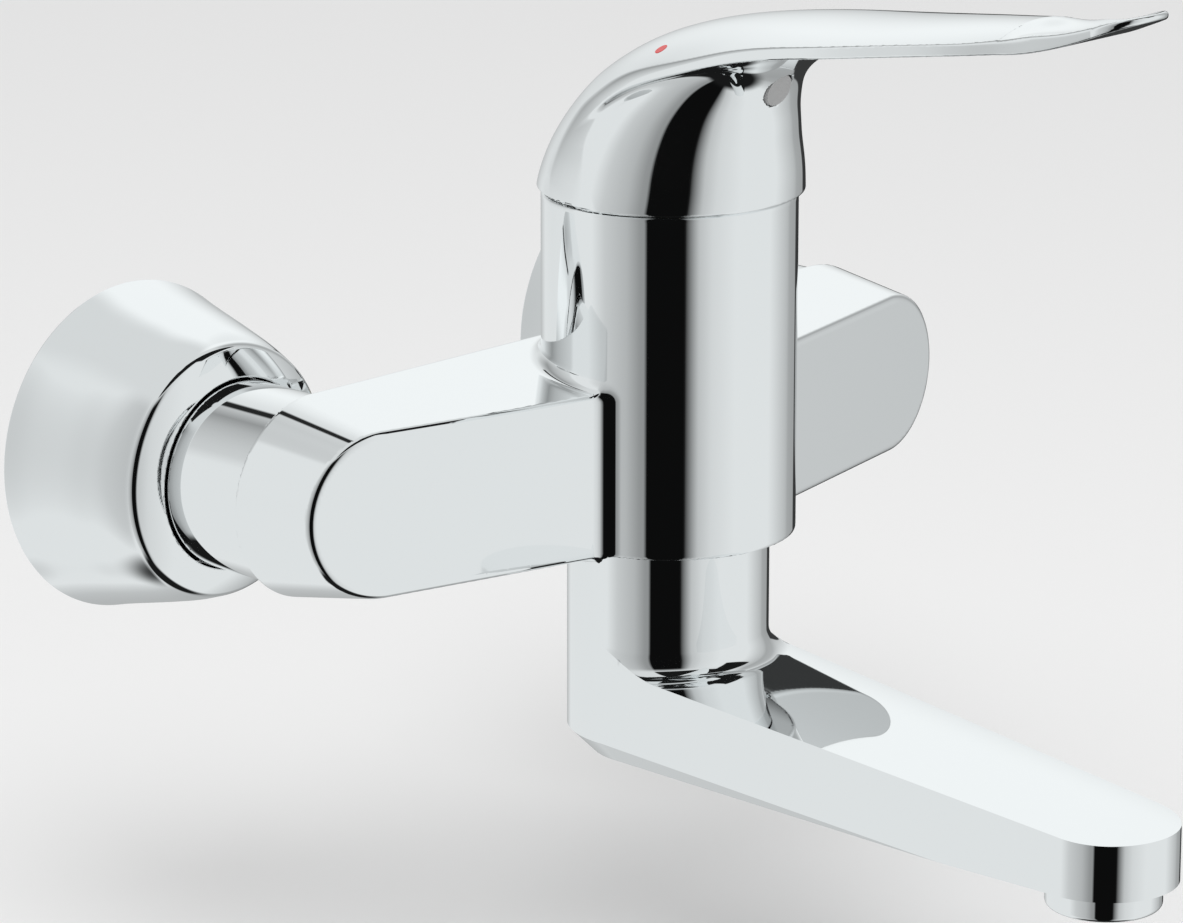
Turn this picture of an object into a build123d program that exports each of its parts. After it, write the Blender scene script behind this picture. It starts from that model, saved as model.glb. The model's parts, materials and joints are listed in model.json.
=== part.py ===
from build123d import *
import os
from math import asin, cos, degrees, hypot, radians, sin, sqrt, tan

os.makedirs("parts", exist_ok=True)

# Elbow lever tap for a wall: a cross body on two eccentric unions, a swivel spout
# under it and a long lever over it. X runs right along the wall, Y runs into the
# wall and Z runs up. The origin is on the wall face, midway between the two
# supply threads. All lengths are in millimetres and all angles in degrees.

# Setting out
inlet_spacing = 150.0        # between the two supply threads
wall_to_axis = 84.0          # wall face to the upright axis of the body
union_offset = 10.0          # the eccentric unions lift the bar this far
thread_clear = 0.05          # between a thread and its hole, both at the crest
running_clear = 0.05         # radial play of a shaft in its hole
seat_clear = 0.1             # between pieces that are clamped or pushed together
move_clear = 0.35            # between pieces that move past each other
cut_over = 1.0               # every cut runs this far past the face it opens

# Body and its two arms
body_r = 26.6
body_top = 56.0              # above the bar's axis
body_top_bevel = 0.8
body_rim_round = 0.9
blend_r = 3.0                # hollow corner between an arm and the upright body
arm_sweep = 13.2             # each front face leans back to the wall by this angle
arm_front_half = 17.3        # half height of the front face, also its end radius
arm_front_rise = 0.65        # the front face is centred a little above the axis
arm_front_out = 1.3          # round end of the front face, outside the inlet's axis
arm_front_back = 5.05        # and behind the upright axis
arm_back_half = 21.3         # half height of the bar's back, also its end radius
arm_back_off_wall = 55.3
chamber_r = 23.1
chamber_floor = 6.0          # above the bar's axis
passage_r = 3.6
inlet_port_r = 3.4
inlet_port_x = 7.2
inlet_port_forward = 8.6     # forward of the upright axis
outlet_port_r = 4.2
outlet_port_back = 3.0       # behind the upright axis

# Tail pieces and union nuts
tail_thread_r = 11.0
tail_thread_length = 12.0
tail_bore_r = 7.5
tail_flange_r = 12.9
tail_flange_thick = 3.0
nut_across_flats = 30.0
nut_wall_side = 34.0         # nearer end of the nut, from the wall
nut_shoulder = 3.2           # thickness of the lip that holds the tail piece
washer_thick = 2.0
washer_bore_r = 8.0
strainer_thick = 0.8
strainer_hole_r = 0.7
strainer_pitch = 2.4
strainer_rows = 5

# Eccentric unions
wall_thread_r = 10.48        # half inch pipe thread
wall_thread_length = 18.0    # what enters the wall
union_thread_r = 13.2        # three quarter inch pipe thread
union_bore_r = 7.0
union_collar_flats = 27.0
union_collar_near = 2.0      # hexagon collar, from the wall
union_collar_far = 8.0
union_link_r = 11.5
union_link_far = 24.0
union_end_far = 44.0

# Smooth covers over the nuts
cover_r = 19.7
cover_wall = 1.2
cover_near = 24.0            # open end, from the wall
cover_floor = 1.9

# Escutcheons
flange_r = 35.4
flange_sheet = 1.2
flange_depth = 27.2          # of the bell, from the wall
bell_depth_shares = (0.0, 0.15, 0.30, 0.45, 0.59, 0.74, 0.89, 1.0)
bell_radius_shares = (1.0, 0.984, 0.957, 0.925, 0.886, 0.838, 0.778, 0.716)
collar_centre_r = 23.2
collar_tube_r = 3.1
collar_off_wall = 29.7
flange_ring_r = 0.85         # cord radius of the ring that grips the cover
flange_ring_squeeze = 0.05

# Cartridge, with rises above the bar's axis
cartridge_r = 22.9
port_seal_r = 5.6
port_seal_hole_r = 4.2
port_seal_thick = 1.9
base_top = 12.0
base_lift = 0.4              # the base stands off the floor on its seals
fixed_disc_r = 19.5
fixed_disc_top = 17.0
inlet_slot_r = 2.6
outlet_slot_r = 3.6
moving_disc_r = 16.6
moving_disc_top = 21.0
disc_gap = 0.05              # film between the two lapped discs
mixing_pocket = 2.0          # depth of the pocket under the moving disc
mixing_pocket_r = 8.6        # it meets the inlets only when the lever is lifted
carrier_r = 13.8
carrier_flat_x = 12.6
carrier_plate = 5.0
carrier_boss_r = 6.6
carrier_top = 32.0
housing_bore_r = 19.8
housing_shoulder = 42.0
housing_neck_r = 17.6
housing_neck_top = 50.0
housing_roof = 39.0
neck_bore_r = 14.0
clamp_ring_r = 23.0
clamp_ring_top = 51.0
clamp_key_count = 6
clamp_key_width = 4.0
clamp_key_depth = 2.0
rotor_plate_low = 33.0
rotor_rail_low = 24.0
rotor_rail_out_x = 15.8
rotor_rail_half_y = 9.5
rotor_top = 54.0
rotor_slot_half_y = 7.2
stop_ring_thick = 2.2
stop_lug_r = 16.2
stop_lug_angle = 20.0
temperature_half_turn = 45.0
stop_angle_play = 1.5

# Stem, with lengths measured along it from its pivot
pivot_rise = 43.0
stem_lean = 12.0             # the closed stem leans forward by this angle
stem_side = 8.0
stem_length = 41.0
stem_hub_r = 4.3
stem_hub_length = 8.0
stem_arm_r = 2.7
stem_ball_r = 3.4
stem_ball_reach = 13.0
pivot_pin_r = 2.0
pivot_pin_half = 13.2

# Lever
rim_r = 28.0
rim_rise = 56.25             # widest edge of the skirt above the bar's axis
rim_inner_r = 27.15
dome_height = 31.7           # from the rim to where the dome meets the blade
dome_height_shares = (0.0, 0.15, 0.26, 0.37, 0.48, 0.59, 0.70, 0.81, 0.874, 1.0)
dome_radius_shares = (1.0, 0.972, 0.946, 0.911, 0.871, 0.821, 0.761, 0.686, 0.640, 0.600)
dome_front_shares = (1.0, 1.007, 0.995, 0.989, 0.993, 1.004, 1.036, 1.093, 1.154, 1.332)
lever_wall = 2.3
cavity_sections = 7          # the hollow follows the dome up to this many of its sections
rim_land = 0.5               # height of the upright band inside the rim
blade_reach = 127.0          # tip of the blade, forward of the upright axis
blade_thick = 2.3            # at its edges
blade_root_half = 17.9       # neck under the cap
blade_bend_half = 12.4
blade_tip_r = 9.0
blade_bend = 98.6            # where the blade bends up, forward of the axis
blade_bend_rise = 46.4       # above the rim
blade_tip_rise = 54.9        # above the rim
blade_back_centre = 14.6     # centre of the blade's round back end
blade_root_length = 42.4     # parallel part, from there forward
blade_top_shares = ((-0.040, 0.570), (0.0, 0.620), (0.10, 0.675), (0.223, 0.735),
                    (0.406, 0.815), (0.578, 0.860), (0.761, 0.918))
cap_half = 23.2              # crowned cap over the dome and the blade, up to the bend
cap_rise = 49.5              # its middle line at the bend, above the rim
cap_crown_r = 34.0           # round of its top across, at the bend
# places along the cap: forward as a share of the bend's place, rise, half width, round across
cap_shares = ((-0.232, 0.240, 1.0, 0.841), (-0.148, 0.446, 1.0, 0.882), (-0.003, 0.644, 0.991, 1.015),
              (0.219, 0.792, 0.966, 1.191), (0.402, 0.853, 0.953, 1.676), (0.574, 0.891, 0.905, 1.824),
              (0.756, 0.935, 0.802, 1.706), (1.0, 1.0, 0.578, 1.0))
blade_low_shares = ((0.0, 0.560), (0.25, 0.640), (0.365, 0.690), (0.43, 0.775))
blade_thin_share = 0.51      # the blade is thin from here on, as shares of the bend's place
blade_thin_rise_share = 0.80
boss_r = 7.5
boss_low = 24.0              # along the stem from its pivot
boss_length = 13.5
socket_clear = 0.03
grub_rise = 24.8             # grub screw, above the rim
grub_r = 2.5
grub_length = 9.0
grub_key_r = 1.3
grub_key_depth = 3.0
plug_r = 3.3
plug_depth = 5.0
plug_face = 30.3             # middle of the plug's face, forward of the upright axis
plug_lean = 20.0             # the face follows the surface, its top leans forward
dot_r = 1.4
dot_depth = 0.8
dot_x = 16.3                 # a dot at each side: red for hot on the left, blue on the right
dot_forward = 12.9           # forward of the upright axis
dot_proud = 0.05
dot_rise = 33.2              # centre of a mark, above the rim
dot_slope = 17.0             # the surface climbs forward by this angle
dot_lean = 25.0              # and falls to its side by this one

# Swivel nipple under the body, with drops below the bar's axis
nipple_r = 15.0
nipple_thread_r = 10.0
nipple_thread_length = 9.0
nipple_bore_r = 6.5
nipple_drop = 43.0
nipple_chamfer = 1.0
ring_cord_r = 0.8
ring_groove_r = 13.4
ring_drops = (24.5, 38.5)
stop_groove_r = 12.4
stop_groove_drop = 31.5
glide_ring_r = 17.0
glide_ring_length = 2.6
spout_half_turn = 70.0

# Spout, with drops below the bar's axis
column_r = 21.2
column_gap = 0.3             # below the body's underside
chamber_low = 60.5
spout_bottom = 64.4
spout_reach = 119.3          # upright axis to the outlet's axis
nose_r = 15.0
spout_top_drop = 40.3        # crown line of the top at the upright axis
spout_top_slope = 5.25
spout_crown_r = 120.0
keel_inset = 5.1             # bevel under the column, it runs out along the arm
keel_fade = 90.0             # and is gone this far forward
keel_taper = 45.0
spout_bar_length = 160.0     # longer than the arm, before it is cut to its outline
arm_bar_depth = 50.0
duct_root_half_x = 9.0
duct_root_half_z = 4.0
duct_root_drop = 56.5
duct_nose_half_x = 8.0
duct_nose_half_z = 1.1
stop_screw_r = 2.0
stop_screw_tip_r = 12.9      # from the upright axis
stop_screw_head = 20.7
stop_screw_key_r = 1.1
stop_screw_key_depth = 2.0
base_plug_r = 12.0
base_plug_thick = 3.0

# Aerator
aerator_r = 11.75
aerator_thread_r = 10.95
aerator_thread_top = 58.8
aerator_bottom = 69.95
aerator_round = 1.1
aerator_wall = 1.5
aerator_lip = 1.0
aerator_lip_thick = 0.9
aerator_seal_thick = 1.4
aerator_roof = 55.3
aerator_seal_hole_r = 8.6
insert_wall = 1.2
insert_floor = 1.2
insert_length = 3.2
insert_hole_r = 0.7
insert_hole_circle_r = 5.8
insert_hole_count = 10
screen_thick = 0.5
screen_gap = 0.5
screen_count = 2
screen_hole_r = 0.45
screen_pitch = 1.6
screen_rows = 9
straightener_thick = 3.6
straightener_hole_r = 1.05
straightener_pitch = 2.7
straightener_rows = 6

# Derived places
axis_y = -wall_to_axis
bar_z = union_offset
inlet_x = inlet_spacing / 2
arm_front_x = inlet_x + arm_front_out
body_drop = arm_front_half - arm_front_rise
face_reach = arm_front_x * sin(radians(arm_sweep)) - arm_front_back * cos(radians(arm_sweep))
tail_thread_end = arm_back_off_wall + tail_thread_length
flange_start = union_end_far + strainer_thick + washer_thick
nut_far = flange_start + tail_flange_thick + nut_shoulder
cover_far = arm_back_off_wall - seat_clear
groove_half_angle = spout_half_turn + degrees(asin(stop_screw_r / stop_screw_tip_r)) + stop_angle_play
bar_half = column_r + cut_over
crown_sag = spout_crown_r - sqrt(spout_crown_r ** 2 - bar_half ** 2)
keel_root_r = column_r - keel_inset
wall_at_fade = column_r + (nose_r - column_r) * keel_fade / spout_reach
keel_far_r = keel_root_r + (wall_at_fade - keel_root_r) * spout_reach / keel_fade
aerator_bore_r = aerator_thread_r - aerator_wall
insert_low = -aerator_thread_top - insert_length
screen_low = -aerator_bottom + aerator_lip_thick + straightener_thick + seat_clear
flange_ring_centre = cover_r + flange_ring_r + flange_ring_squeeze
inlet_spots = ((-inlet_port_x, -inlet_port_forward), (inlet_port_x, -inlet_port_forward))
outlet_spot = (0, outlet_port_back)


def level(rise, forward=0.0, across=0.0):
    """Plane facing up, at a rise above the bar's axis and forward of the body's axis."""
    return Plane(origin=(across, axis_y - forward, bar_z + rise))


def off_wall(distance, across, height=bar_z):
    """Plane facing the user, at a distance from the wall."""
    return Plane(origin=(across, -distance, height), x_dir=(1, 0, 0), z_dir=(0, -1, 0))


def upright_section(across=0.0, forward=0.0):
    """Upright plane through an axis: local x runs right and local y runs up."""
    return Plane(origin=(across, axis_y - forward, bar_z), x_dir=(1, 0, 0), z_dir=(0, -1, 0))


def wall_section(across, height=bar_z):
    """Level plane through an inlet's axis: local x runs right, local y off the wall."""
    return Plane(origin=(across, 0, height), x_dir=(1, 0, 0), z_dir=(0, 0, -1))


def arm_front_plane(side):
    """Plane of one arm's front face, with its origin at the centre of the round end."""
    lean = radians(arm_sweep) * side
    return Plane(
        origin=(side * arm_front_x, axis_y + arm_front_back, bar_z + arm_front_rise),
        x_dir=(cos(lean), sin(lean), 0),
        z_dir=(sin(lean), -cos(lean), 0),
    )


upright_axis = Axis((0, axis_y, bar_z), (0, 0, 1))
stem_tilt = radians(stem_lean)
stem_plane = Plane(
    origin=(0, axis_y, bar_z + pivot_rise),
    x_dir=(1, 0, 0),
    z_dir=(0, -sin(stem_tilt), cos(stem_tilt)),
)
spout_tilt = radians(spout_top_slope)
spout_slope_plane = Plane(
    origin=(0, axis_y, bar_z - spout_top_drop),
    x_dir=(1, 0, 0),
    z_dir=(0, -cos(spout_tilt), -sin(spout_tilt)),
)


def dot_plane(side):
    """Plane of a mark's face, on the sloping top of the lever."""
    slope, lean = radians(dot_slope), radians(dot_lean)
    return Plane(
        origin=(side * dot_x, axis_y - dot_forward, bar_z + rim_rise + dot_rise),
        x_dir=(0, cos(slope), -sin(slope)),
        z_dir=(side * sin(lean), cos(lean) * sin(slope), cos(lean) * cos(slope)),
    )


# Body: upright barrel, two arms and the ways for the water

def arm_end(length, half, side):
    """Outline of an arm: straight sides and a round end, from the middle of the bar."""
    top = Line((-side * length, half), (0, half))
    end = ThreePointArc(top @ 1, (side * half, 0), (0, -half))
    low = Line(end @ 1, (-side * length, -half))
    Line(low @ 1, top @ 0)


def corner_fill(side):
    """Outline of the hollow blend between the barrel and one arm's front face."""
    lean = radians(arm_sweep)
    out = Vector(side * sin(lean), -cos(lean))
    along = Vector(side * cos(lean), sin(lean))
    reach = sqrt((body_r + blend_r) ** 2 - (face_reach + blend_r) ** 2)
    centre = out * (face_reach + blend_r) + along * reach
    on_face = out * face_reach + along * reach
    on_barrel = centre * (body_r / (body_r + blend_r))
    inward = ((on_face - centre) + (on_barrel - centre)).normalized()
    inside = out * (face_reach - blend_r) + along * (reach - blend_r)
    ThreePointArc(on_face, centre + inward * blend_r, on_barrel)
    Polyline(on_barrel, inside, on_face)


with BuildPart() as mixer_body:
    with BuildSketch(level(-body_drop)):
        Circle(body_r)
    extrude(amount=body_drop + body_top)
    chamfer(mixer_body.edges().group_by(Axis.Z)[-1], body_top_bevel)
    fillet(mixer_body.edges().group_by(Axis.Z)[0], body_rim_round)
    for side in (-1, 1):
        with BuildSketch(arm_front_plane(side)):
            with BuildLine():
                arm_end(arm_front_x / cos(radians(arm_sweep)), arm_front_half, side)
            make_face()
        with BuildSketch(off_wall(arm_back_off_wall, side * inlet_x)):
            with BuildLine():
                arm_end(inlet_x, arm_back_half, side)
            make_face()
        loft(ruled=True)
        with BuildSketch(level(-body_drop)):
            with BuildLine():
                corner_fill(side)
            make_face()
        extrude(amount=arm_front_half * 2)
    # nothing hangs below the barrel's underside
    with BuildSketch(level(-body_drop)):
        Circle(body_r + seat_clear)
    extrude(amount=body_drop - arm_back_half - cut_over, mode=Mode.SUBTRACT)
    # chamber for the cartridge, open at the top
    with BuildSketch(level(chamber_floor)):
        Circle(chamber_r)
    extrude(amount=body_top - chamber_floor + cut_over, mode=Mode.SUBTRACT)
    # two inlet ports and one outlet port in its floor
    with BuildSketch(level(chamber_floor + cut_over)):
        with Locations(*inlet_spots):
            Circle(inlet_port_r)
    extrude(amount=-(chamber_floor + cut_over), mode=Mode.SUBTRACT)
    with BuildSketch(level(chamber_floor + cut_over)):
        with Locations(outlet_spot):
            Circle(outlet_port_r)
    extrude(amount=-(chamber_floor + cut_over + body_drop - nipple_thread_length + cut_over),
            mode=Mode.SUBTRACT)
    # hole for the swivel nipple's thread
    with BuildSketch(level(-body_drop - cut_over)):
        Circle(nipple_thread_r + thread_clear)
    extrude(amount=nipple_thread_length + cut_over + seat_clear, mode=Mode.SUBTRACT)
    # threads for the tail pieces, and the ways from them to the inlet ports
    for side in (-1, 1):
        with BuildSketch(off_wall(arm_back_off_wall - cut_over, side * inlet_x)):
            Circle(tail_thread_r + thread_clear)
        extrude(amount=tail_thread_length + cut_over + seat_clear, mode=Mode.SUBTRACT)
        start = Vector(side * (inlet_x - tail_bore_r + passage_r), -tail_thread_end, bar_z)
        port = Vector(side * inlet_port_x, axis_y - inlet_port_forward, bar_z)
        way = Plane(origin=start, z_dir=port - start)
        with BuildSketch(way.offset(-passage_r)):
            Circle(passage_r)
        extrude(amount=(port - start).length + passage_r, mode=Mode.SUBTRACT)
mixer_body.part.label = "mixer_body"
export_step(mixer_body.part, "parts/mixer_body.step")


# Tail pieces, nuts, washers, strainers and eccentric unions, one set at each side

for side, hand in ((-1, "left"), (1, "right")):
    across = side * inlet_x

    with BuildPart() as tail_piece:
        with BuildSketch(off_wall(flange_start, across)):
            Circle(tail_flange_r)
        extrude(amount=tail_flange_thick)
        with BuildSketch(off_wall(flange_start, across)):
            Circle(tail_thread_r)
        extrude(amount=tail_thread_end - flange_start)
        with BuildSketch(off_wall(flange_start - cut_over, across)):
            Circle(tail_bore_r)
        extrude(amount=tail_thread_end - flange_start + cut_over * 2, mode=Mode.SUBTRACT)
    tail_piece.part.label = f"tail_piece_{hand}"
    export_step(tail_piece.part, f"parts/tail_piece_{hand}.step")

    with BuildPart() as union_nut:
        with BuildSketch(off_wall(nut_wall_side, across)):
            RegularPolygon(nut_across_flats / 2, 6, major_radius=False)
        extrude(amount=nut_far - nut_wall_side)
        with BuildSketch(off_wall(nut_wall_side - cut_over, across)):
            Circle(union_thread_r + thread_clear)
        extrude(amount=nut_far - nut_shoulder - nut_wall_side + cut_over, mode=Mode.SUBTRACT)
        with BuildSketch(off_wall(nut_far - nut_shoulder - cut_over, across)):
            Circle(tail_thread_r + seat_clear)
        extrude(amount=nut_shoulder + cut_over * 2, mode=Mode.SUBTRACT)
    union_nut.part.label = f"union_nut_{hand}"
    export_step(union_nut.part, f"parts/union_nut_{hand}.step")

    with BuildPart() as sealing_washer:
        with BuildSketch(off_wall(union_end_far + strainer_thick, across)):
            Circle(tail_flange_r)
            Circle(washer_bore_r, mode=Mode.SUBTRACT)
        extrude(amount=washer_thick)
    sealing_washer.part.label = f"sealing_washer_{hand}"
    export_step(sealing_washer.part, f"parts/sealing_washer_{hand}.step")

    with BuildPart() as strainer:
        with BuildSketch(off_wall(union_end_far, across)):
            Circle(tail_flange_r)
            with HexLocations(strainer_pitch / 2, strainer_rows, strainer_rows):
                Circle(strainer_hole_r, mode=Mode.SUBTRACT)
        extrude(amount=strainer_thick)
    strainer.part.label = f"strainer_{hand}"
    export_step(strainer.part, f"parts/strainer_{hand}.step")

    with BuildPart() as eccentric_union:
        with BuildSketch(off_wall(-wall_thread_length, across, 0)):
            Circle(wall_thread_r)
        extrude(amount=wall_thread_length + union_collar_near)
        with BuildSketch(off_wall(union_collar_near, across, 0)):
            RegularPolygon(union_collar_flats / 2, 6, major_radius=False)
        extrude(amount=union_collar_far - union_collar_near)
        with BuildSketch(off_wall(union_collar_far, across, 0)):
            Circle(union_link_r)
        with BuildSketch(off_wall(union_link_far, across)):
            Circle(union_link_r)
        loft(ruled=True)
        with BuildSketch(off_wall(union_link_far, across)):
            Circle(union_thread_r)
        extrude(amount=union_end_far - union_link_far)
        with BuildSketch(off_wall(-wall_thread_length - cut_over, across, 0)):
            Circle(union_bore_r)
        extrude(amount=wall_thread_length + union_collar_far + cut_over, mode=Mode.SUBTRACT)
        with BuildSketch(off_wall(union_collar_far, across, 0)):
            Circle(union_bore_r)
        with BuildSketch(off_wall(union_link_far, across)):
            Circle(union_bore_r)
        loft(ruled=True, mode=Mode.SUBTRACT)
        with BuildSketch(off_wall(union_link_far, across)):
            Circle(union_bore_r)
        extrude(amount=union_end_far - union_link_far + cut_over, mode=Mode.SUBTRACT)
    eccentric_union.part.label = f"eccentric_union_{hand}"
    export_step(eccentric_union.part, f"parts/eccentric_union_{hand}.step")

    with BuildPart() as nut_cover:
        with BuildSketch(off_wall(cover_near, across)):
            Circle(cover_r)
        extrude(amount=cover_far - cover_near)
        with BuildSketch(off_wall(cover_near - cut_over, across)):
            Circle(cover_r - cover_wall)
        extrude(amount=cover_far - cover_floor - cover_near + cut_over, mode=Mode.SUBTRACT)
        with BuildSketch(off_wall(cover_far - cover_floor - cut_over, across)):
            Circle(tail_thread_r + seat_clear)
        extrude(amount=cover_floor + cut_over * 2, mode=Mode.SUBTRACT)
    nut_cover.part.label = f"nut_cover_{hand}"
    export_step(nut_cover.part, f"parts/nut_cover_{hand}.step")

    # the bell is a sheet of one thickness that ends in a rolled collar
    bell = [(flange_r * r, flange_depth * d) for r, d in zip(bell_radius_shares, bell_depth_shares)]
    inner = [(r - flange_sheet, d) for r, d in bell]
    with BuildPart() as escutcheon:
        with BuildSketch(wall_section(across)):
            with BuildLine():
                outside = Spline(*bell)
                mouth = Line(outside @ 1, inner[-1])
                inside = Spline(*reversed(inner))
                Line(inside @ 1, outside @ 0)
            make_face()
            with Locations((collar_centre_r, collar_off_wall)):
                Circle(collar_tube_r)
            with Locations((flange_ring_centre, collar_off_wall)):
                Circle(flange_ring_r + seat_clear, mode=Mode.SUBTRACT)
        revolve(axis=Axis((across, 0, bar_z), (0, -1, 0)))
    escutcheon.part.label = f"escutcheon_{hand}"
    export_step(escutcheon.part, f"parts/escutcheon_{hand}.step")

    with BuildPart() as flange_ring:
        with BuildSketch(wall_section(across)):
            with Locations((flange_ring_centre, collar_off_wall)):
                Circle(flange_ring_r)
        revolve(axis=Axis((across, 0, bar_z), (0, -1, 0)))
    flange_ring.part.label = f"flange_ring_{hand}"
    export_step(flange_ring.part, f"parts/flange_ring_{hand}.step")


# Cartridge: housing, base, seals and discs

with BuildPart() as port_seals:
    with BuildSketch(level(chamber_floor)):
        with Locations(*inlet_spots, outlet_spot):
            Circle(port_seal_r)
            Circle(port_seal_hole_r, mode=Mode.SUBTRACT)
    extrude(amount=port_seal_thick)
port_seals.part.label = "port_seals"
export_step(port_seals.part, "parts/port_seals.step")

with BuildPart() as cartridge_base:
    with BuildSketch(level(chamber_floor + base_lift)):
        Circle(cartridge_r)
    extrude(amount=base_top - chamber_floor - base_lift)
    with BuildSketch(level(chamber_floor + port_seal_thick)):
        with Locations(*inlet_spots, outlet_spot):
            Circle(port_seal_r + seat_clear)
    extrude(amount=-port_seal_thick, mode=Mode.SUBTRACT)
    with BuildSketch(level(chamber_floor)):
        with Locations(*inlet_spots):
            Circle(inlet_slot_r)
        with Locations(outlet_spot):
            Circle(outlet_slot_r)
    extrude(amount=base_top - chamber_floor + cut_over, mode=Mode.SUBTRACT)
cartridge_base.part.label = "cartridge_base"
export_step(cartridge_base.part, "parts/cartridge_base.step")

with BuildPart() as fixed_disc:
    with BuildSketch(level(base_top)):
        Circle(fixed_disc_r)
        with Locations(*inlet_spots):
            Circle(inlet_slot_r, mode=Mode.SUBTRACT)
        with Locations(outlet_spot):
            Circle(outlet_slot_r, mode=Mode.SUBTRACT)
    extrude(amount=fixed_disc_top - base_top)
fixed_disc.part.label = "fixed_disc"
export_step(fixed_disc.part, "parts/fixed_disc.step")

# Rest offset of the disc and carrier behind the axis, from the leaning stem
disc_back = stem_ball_reach * sin(stem_tilt)

with BuildPart() as moving_disc:
    with BuildSketch(level(fixed_disc_top + disc_gap, -disc_back)):
        Circle(moving_disc_r)
    extrude(amount=moving_disc_top - fixed_disc_top - disc_gap)
    with BuildSketch(level(fixed_disc_top, -disc_back)):
        Circle(mixing_pocket_r)
    extrude(amount=mixing_pocket + disc_gap, mode=Mode.SUBTRACT)
moving_disc.part.label = "moving_disc"
export_step(moving_disc.part, "parts/moving_disc.step")

with BuildPart() as disc_carrier:
    with BuildSketch(level(moving_disc_top, -disc_back)):
        Circle(carrier_r)
        Rectangle(carrier_flat_x * 2, carrier_r * 2, mode=Mode.INTERSECT)
    extrude(amount=carrier_plate)
    with BuildSketch(level(moving_disc_top, -disc_back)):
        Circle(carrier_boss_r)
    extrude(amount=carrier_top - moving_disc_top)
    with BuildSketch(level(moving_disc_top + carrier_plate / 2, -disc_back)):
        Circle(stem_ball_r + move_clear)
    extrude(amount=carrier_top - moving_disc_top, mode=Mode.SUBTRACT)
disc_carrier.part.label = "disc_carrier"
export_step(disc_carrier.part, "parts/disc_carrier.step")

with BuildPart() as cartridge_housing:
    with BuildSketch(level(base_top)):
        Circle(cartridge_r)
    extrude(amount=housing_shoulder - base_top)
    with BuildSketch(level(housing_shoulder)):
        Circle(housing_neck_r)
    extrude(amount=housing_neck_top - housing_shoulder)
    with BuildSketch(level(base_top - cut_over)):
        Circle(housing_bore_r)
    extrude(amount=housing_roof - base_top + cut_over, mode=Mode.SUBTRACT)
    with BuildSketch(level(housing_roof - cut_over)):
        Circle(neck_bore_r)
    extrude(amount=housing_neck_top - housing_roof + cut_over * 2, mode=Mode.SUBTRACT)
cartridge_housing.part.label = "cartridge_housing"
export_step(cartridge_housing.part, "parts/cartridge_housing.step")

with BuildPart() as clamp_ring:
    with BuildSketch(level(housing_shoulder)):
        Circle(clamp_ring_r)
        Circle(housing_neck_r + seat_clear, mode=Mode.SUBTRACT)
    extrude(amount=clamp_ring_top - housing_shoulder)
    with BuildSketch(level(clamp_ring_top - clamp_key_depth)):
        with PolarLocations((clamp_ring_r + housing_neck_r) / 2, clamp_key_count):
            Rectangle(clamp_ring_r, clamp_key_width)
    extrude(amount=clamp_key_depth + cut_over, mode=Mode.SUBTRACT)
clamp_ring.part.label = "clamp_ring"
export_step(clamp_ring.part, "parts/clamp_ring.step")


def sector(radius, half_angle, middle):
    """Outline of a pie slice about the sketch's origin, wider than that radius."""
    start = PolarLine((0, 0), radius * 2, middle - half_angle)
    end = PolarLine((0, 0), radius * 2, middle + half_angle)
    far = PolarLine((0, 0), radius * 2, middle, mode=Mode.PRIVATE)
    ThreePointArc(start @ 1, far @ 1, end @ 1)


# Stop ring: the rotor's lug turns in its open sector, at the back
stop_half_angle = temperature_half_turn + stop_lug_angle / 2 + stop_angle_play
with BuildPart() as stop_ring:
    with BuildSketch(level(housing_neck_top)):
        Circle(housing_neck_r)
        Circle(neck_bore_r + move_clear, mode=Mode.SUBTRACT)
        with BuildLine():
            sector(housing_neck_r, stop_half_angle, 90)
        make_face(mode=Mode.SUBTRACT)
    extrude(amount=stop_ring_thick)
stop_ring.part.label = "stop_ring"
export_step(stop_ring.part, "parts/stop_ring.step")


# Rotor: turns in the housing's neck, guides the carrier and holds the stem's pivot pin

with BuildPart() as rotor:
    with BuildSketch(level(rotor_plate_low)):
        Circle(housing_bore_r - move_clear)
    extrude(amount=housing_roof - move_clear - rotor_plate_low)
    with BuildSketch(level(rotor_plate_low)):
        Circle(neck_bore_r - running_clear)
    extrude(amount=rotor_top - rotor_plate_low)
    # rails at both sides of the carrier
    with BuildSketch(level(rotor_rail_low)):
        rail_wide = rotor_rail_out_x - carrier_flat_x - move_clear
        rail_x = carrier_flat_x + move_clear + rail_wide / 2
        with Locations((-rail_x, 0), (rail_x, 0)):
            Rectangle(rail_wide, rotor_rail_half_y * 2)
    extrude(amount=rotor_plate_low - rotor_rail_low)
    # lug for the stop ring
    with BuildSketch(level(housing_neck_top + move_clear)):
        Circle(stop_lug_r)
        with BuildLine():
            sector(stop_lug_r, stop_lug_angle / 2, 90)
        make_face(mode=Mode.INTERSECT)
    extrude(amount=stop_ring_thick - move_clear)
    # slot for the stem and hole for its pin
    with BuildSketch(level(rotor_plate_low - cut_over)):
        Rectangle(stem_hub_length + move_clear * 2, rotor_slot_half_y * 2)
    extrude(amount=rotor_top - rotor_plate_low + cut_over * 2, mode=Mode.SUBTRACT)
    with BuildSketch(Plane.YZ.offset(-neck_bore_r)):
        with Locations((axis_y, bar_z + pivot_rise)):
            Circle(pivot_pin_r + thread_clear)
    extrude(amount=neck_bore_r * 2, mode=Mode.SUBTRACT)
rotor.part.label = "rotor"
export_step(rotor.part, "parts/rotor.step")

with BuildPart() as pivot_pin:
    with BuildSketch(Plane.YZ.offset(-pivot_pin_half)):
        with Locations((axis_y, bar_z + pivot_rise)):
            Circle(pivot_pin_r)
    extrude(amount=pivot_pin_half * 2)
pivot_pin.part.label = "pivot_pin"
export_step(pivot_pin.part, "parts/pivot_pin.step")

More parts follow.
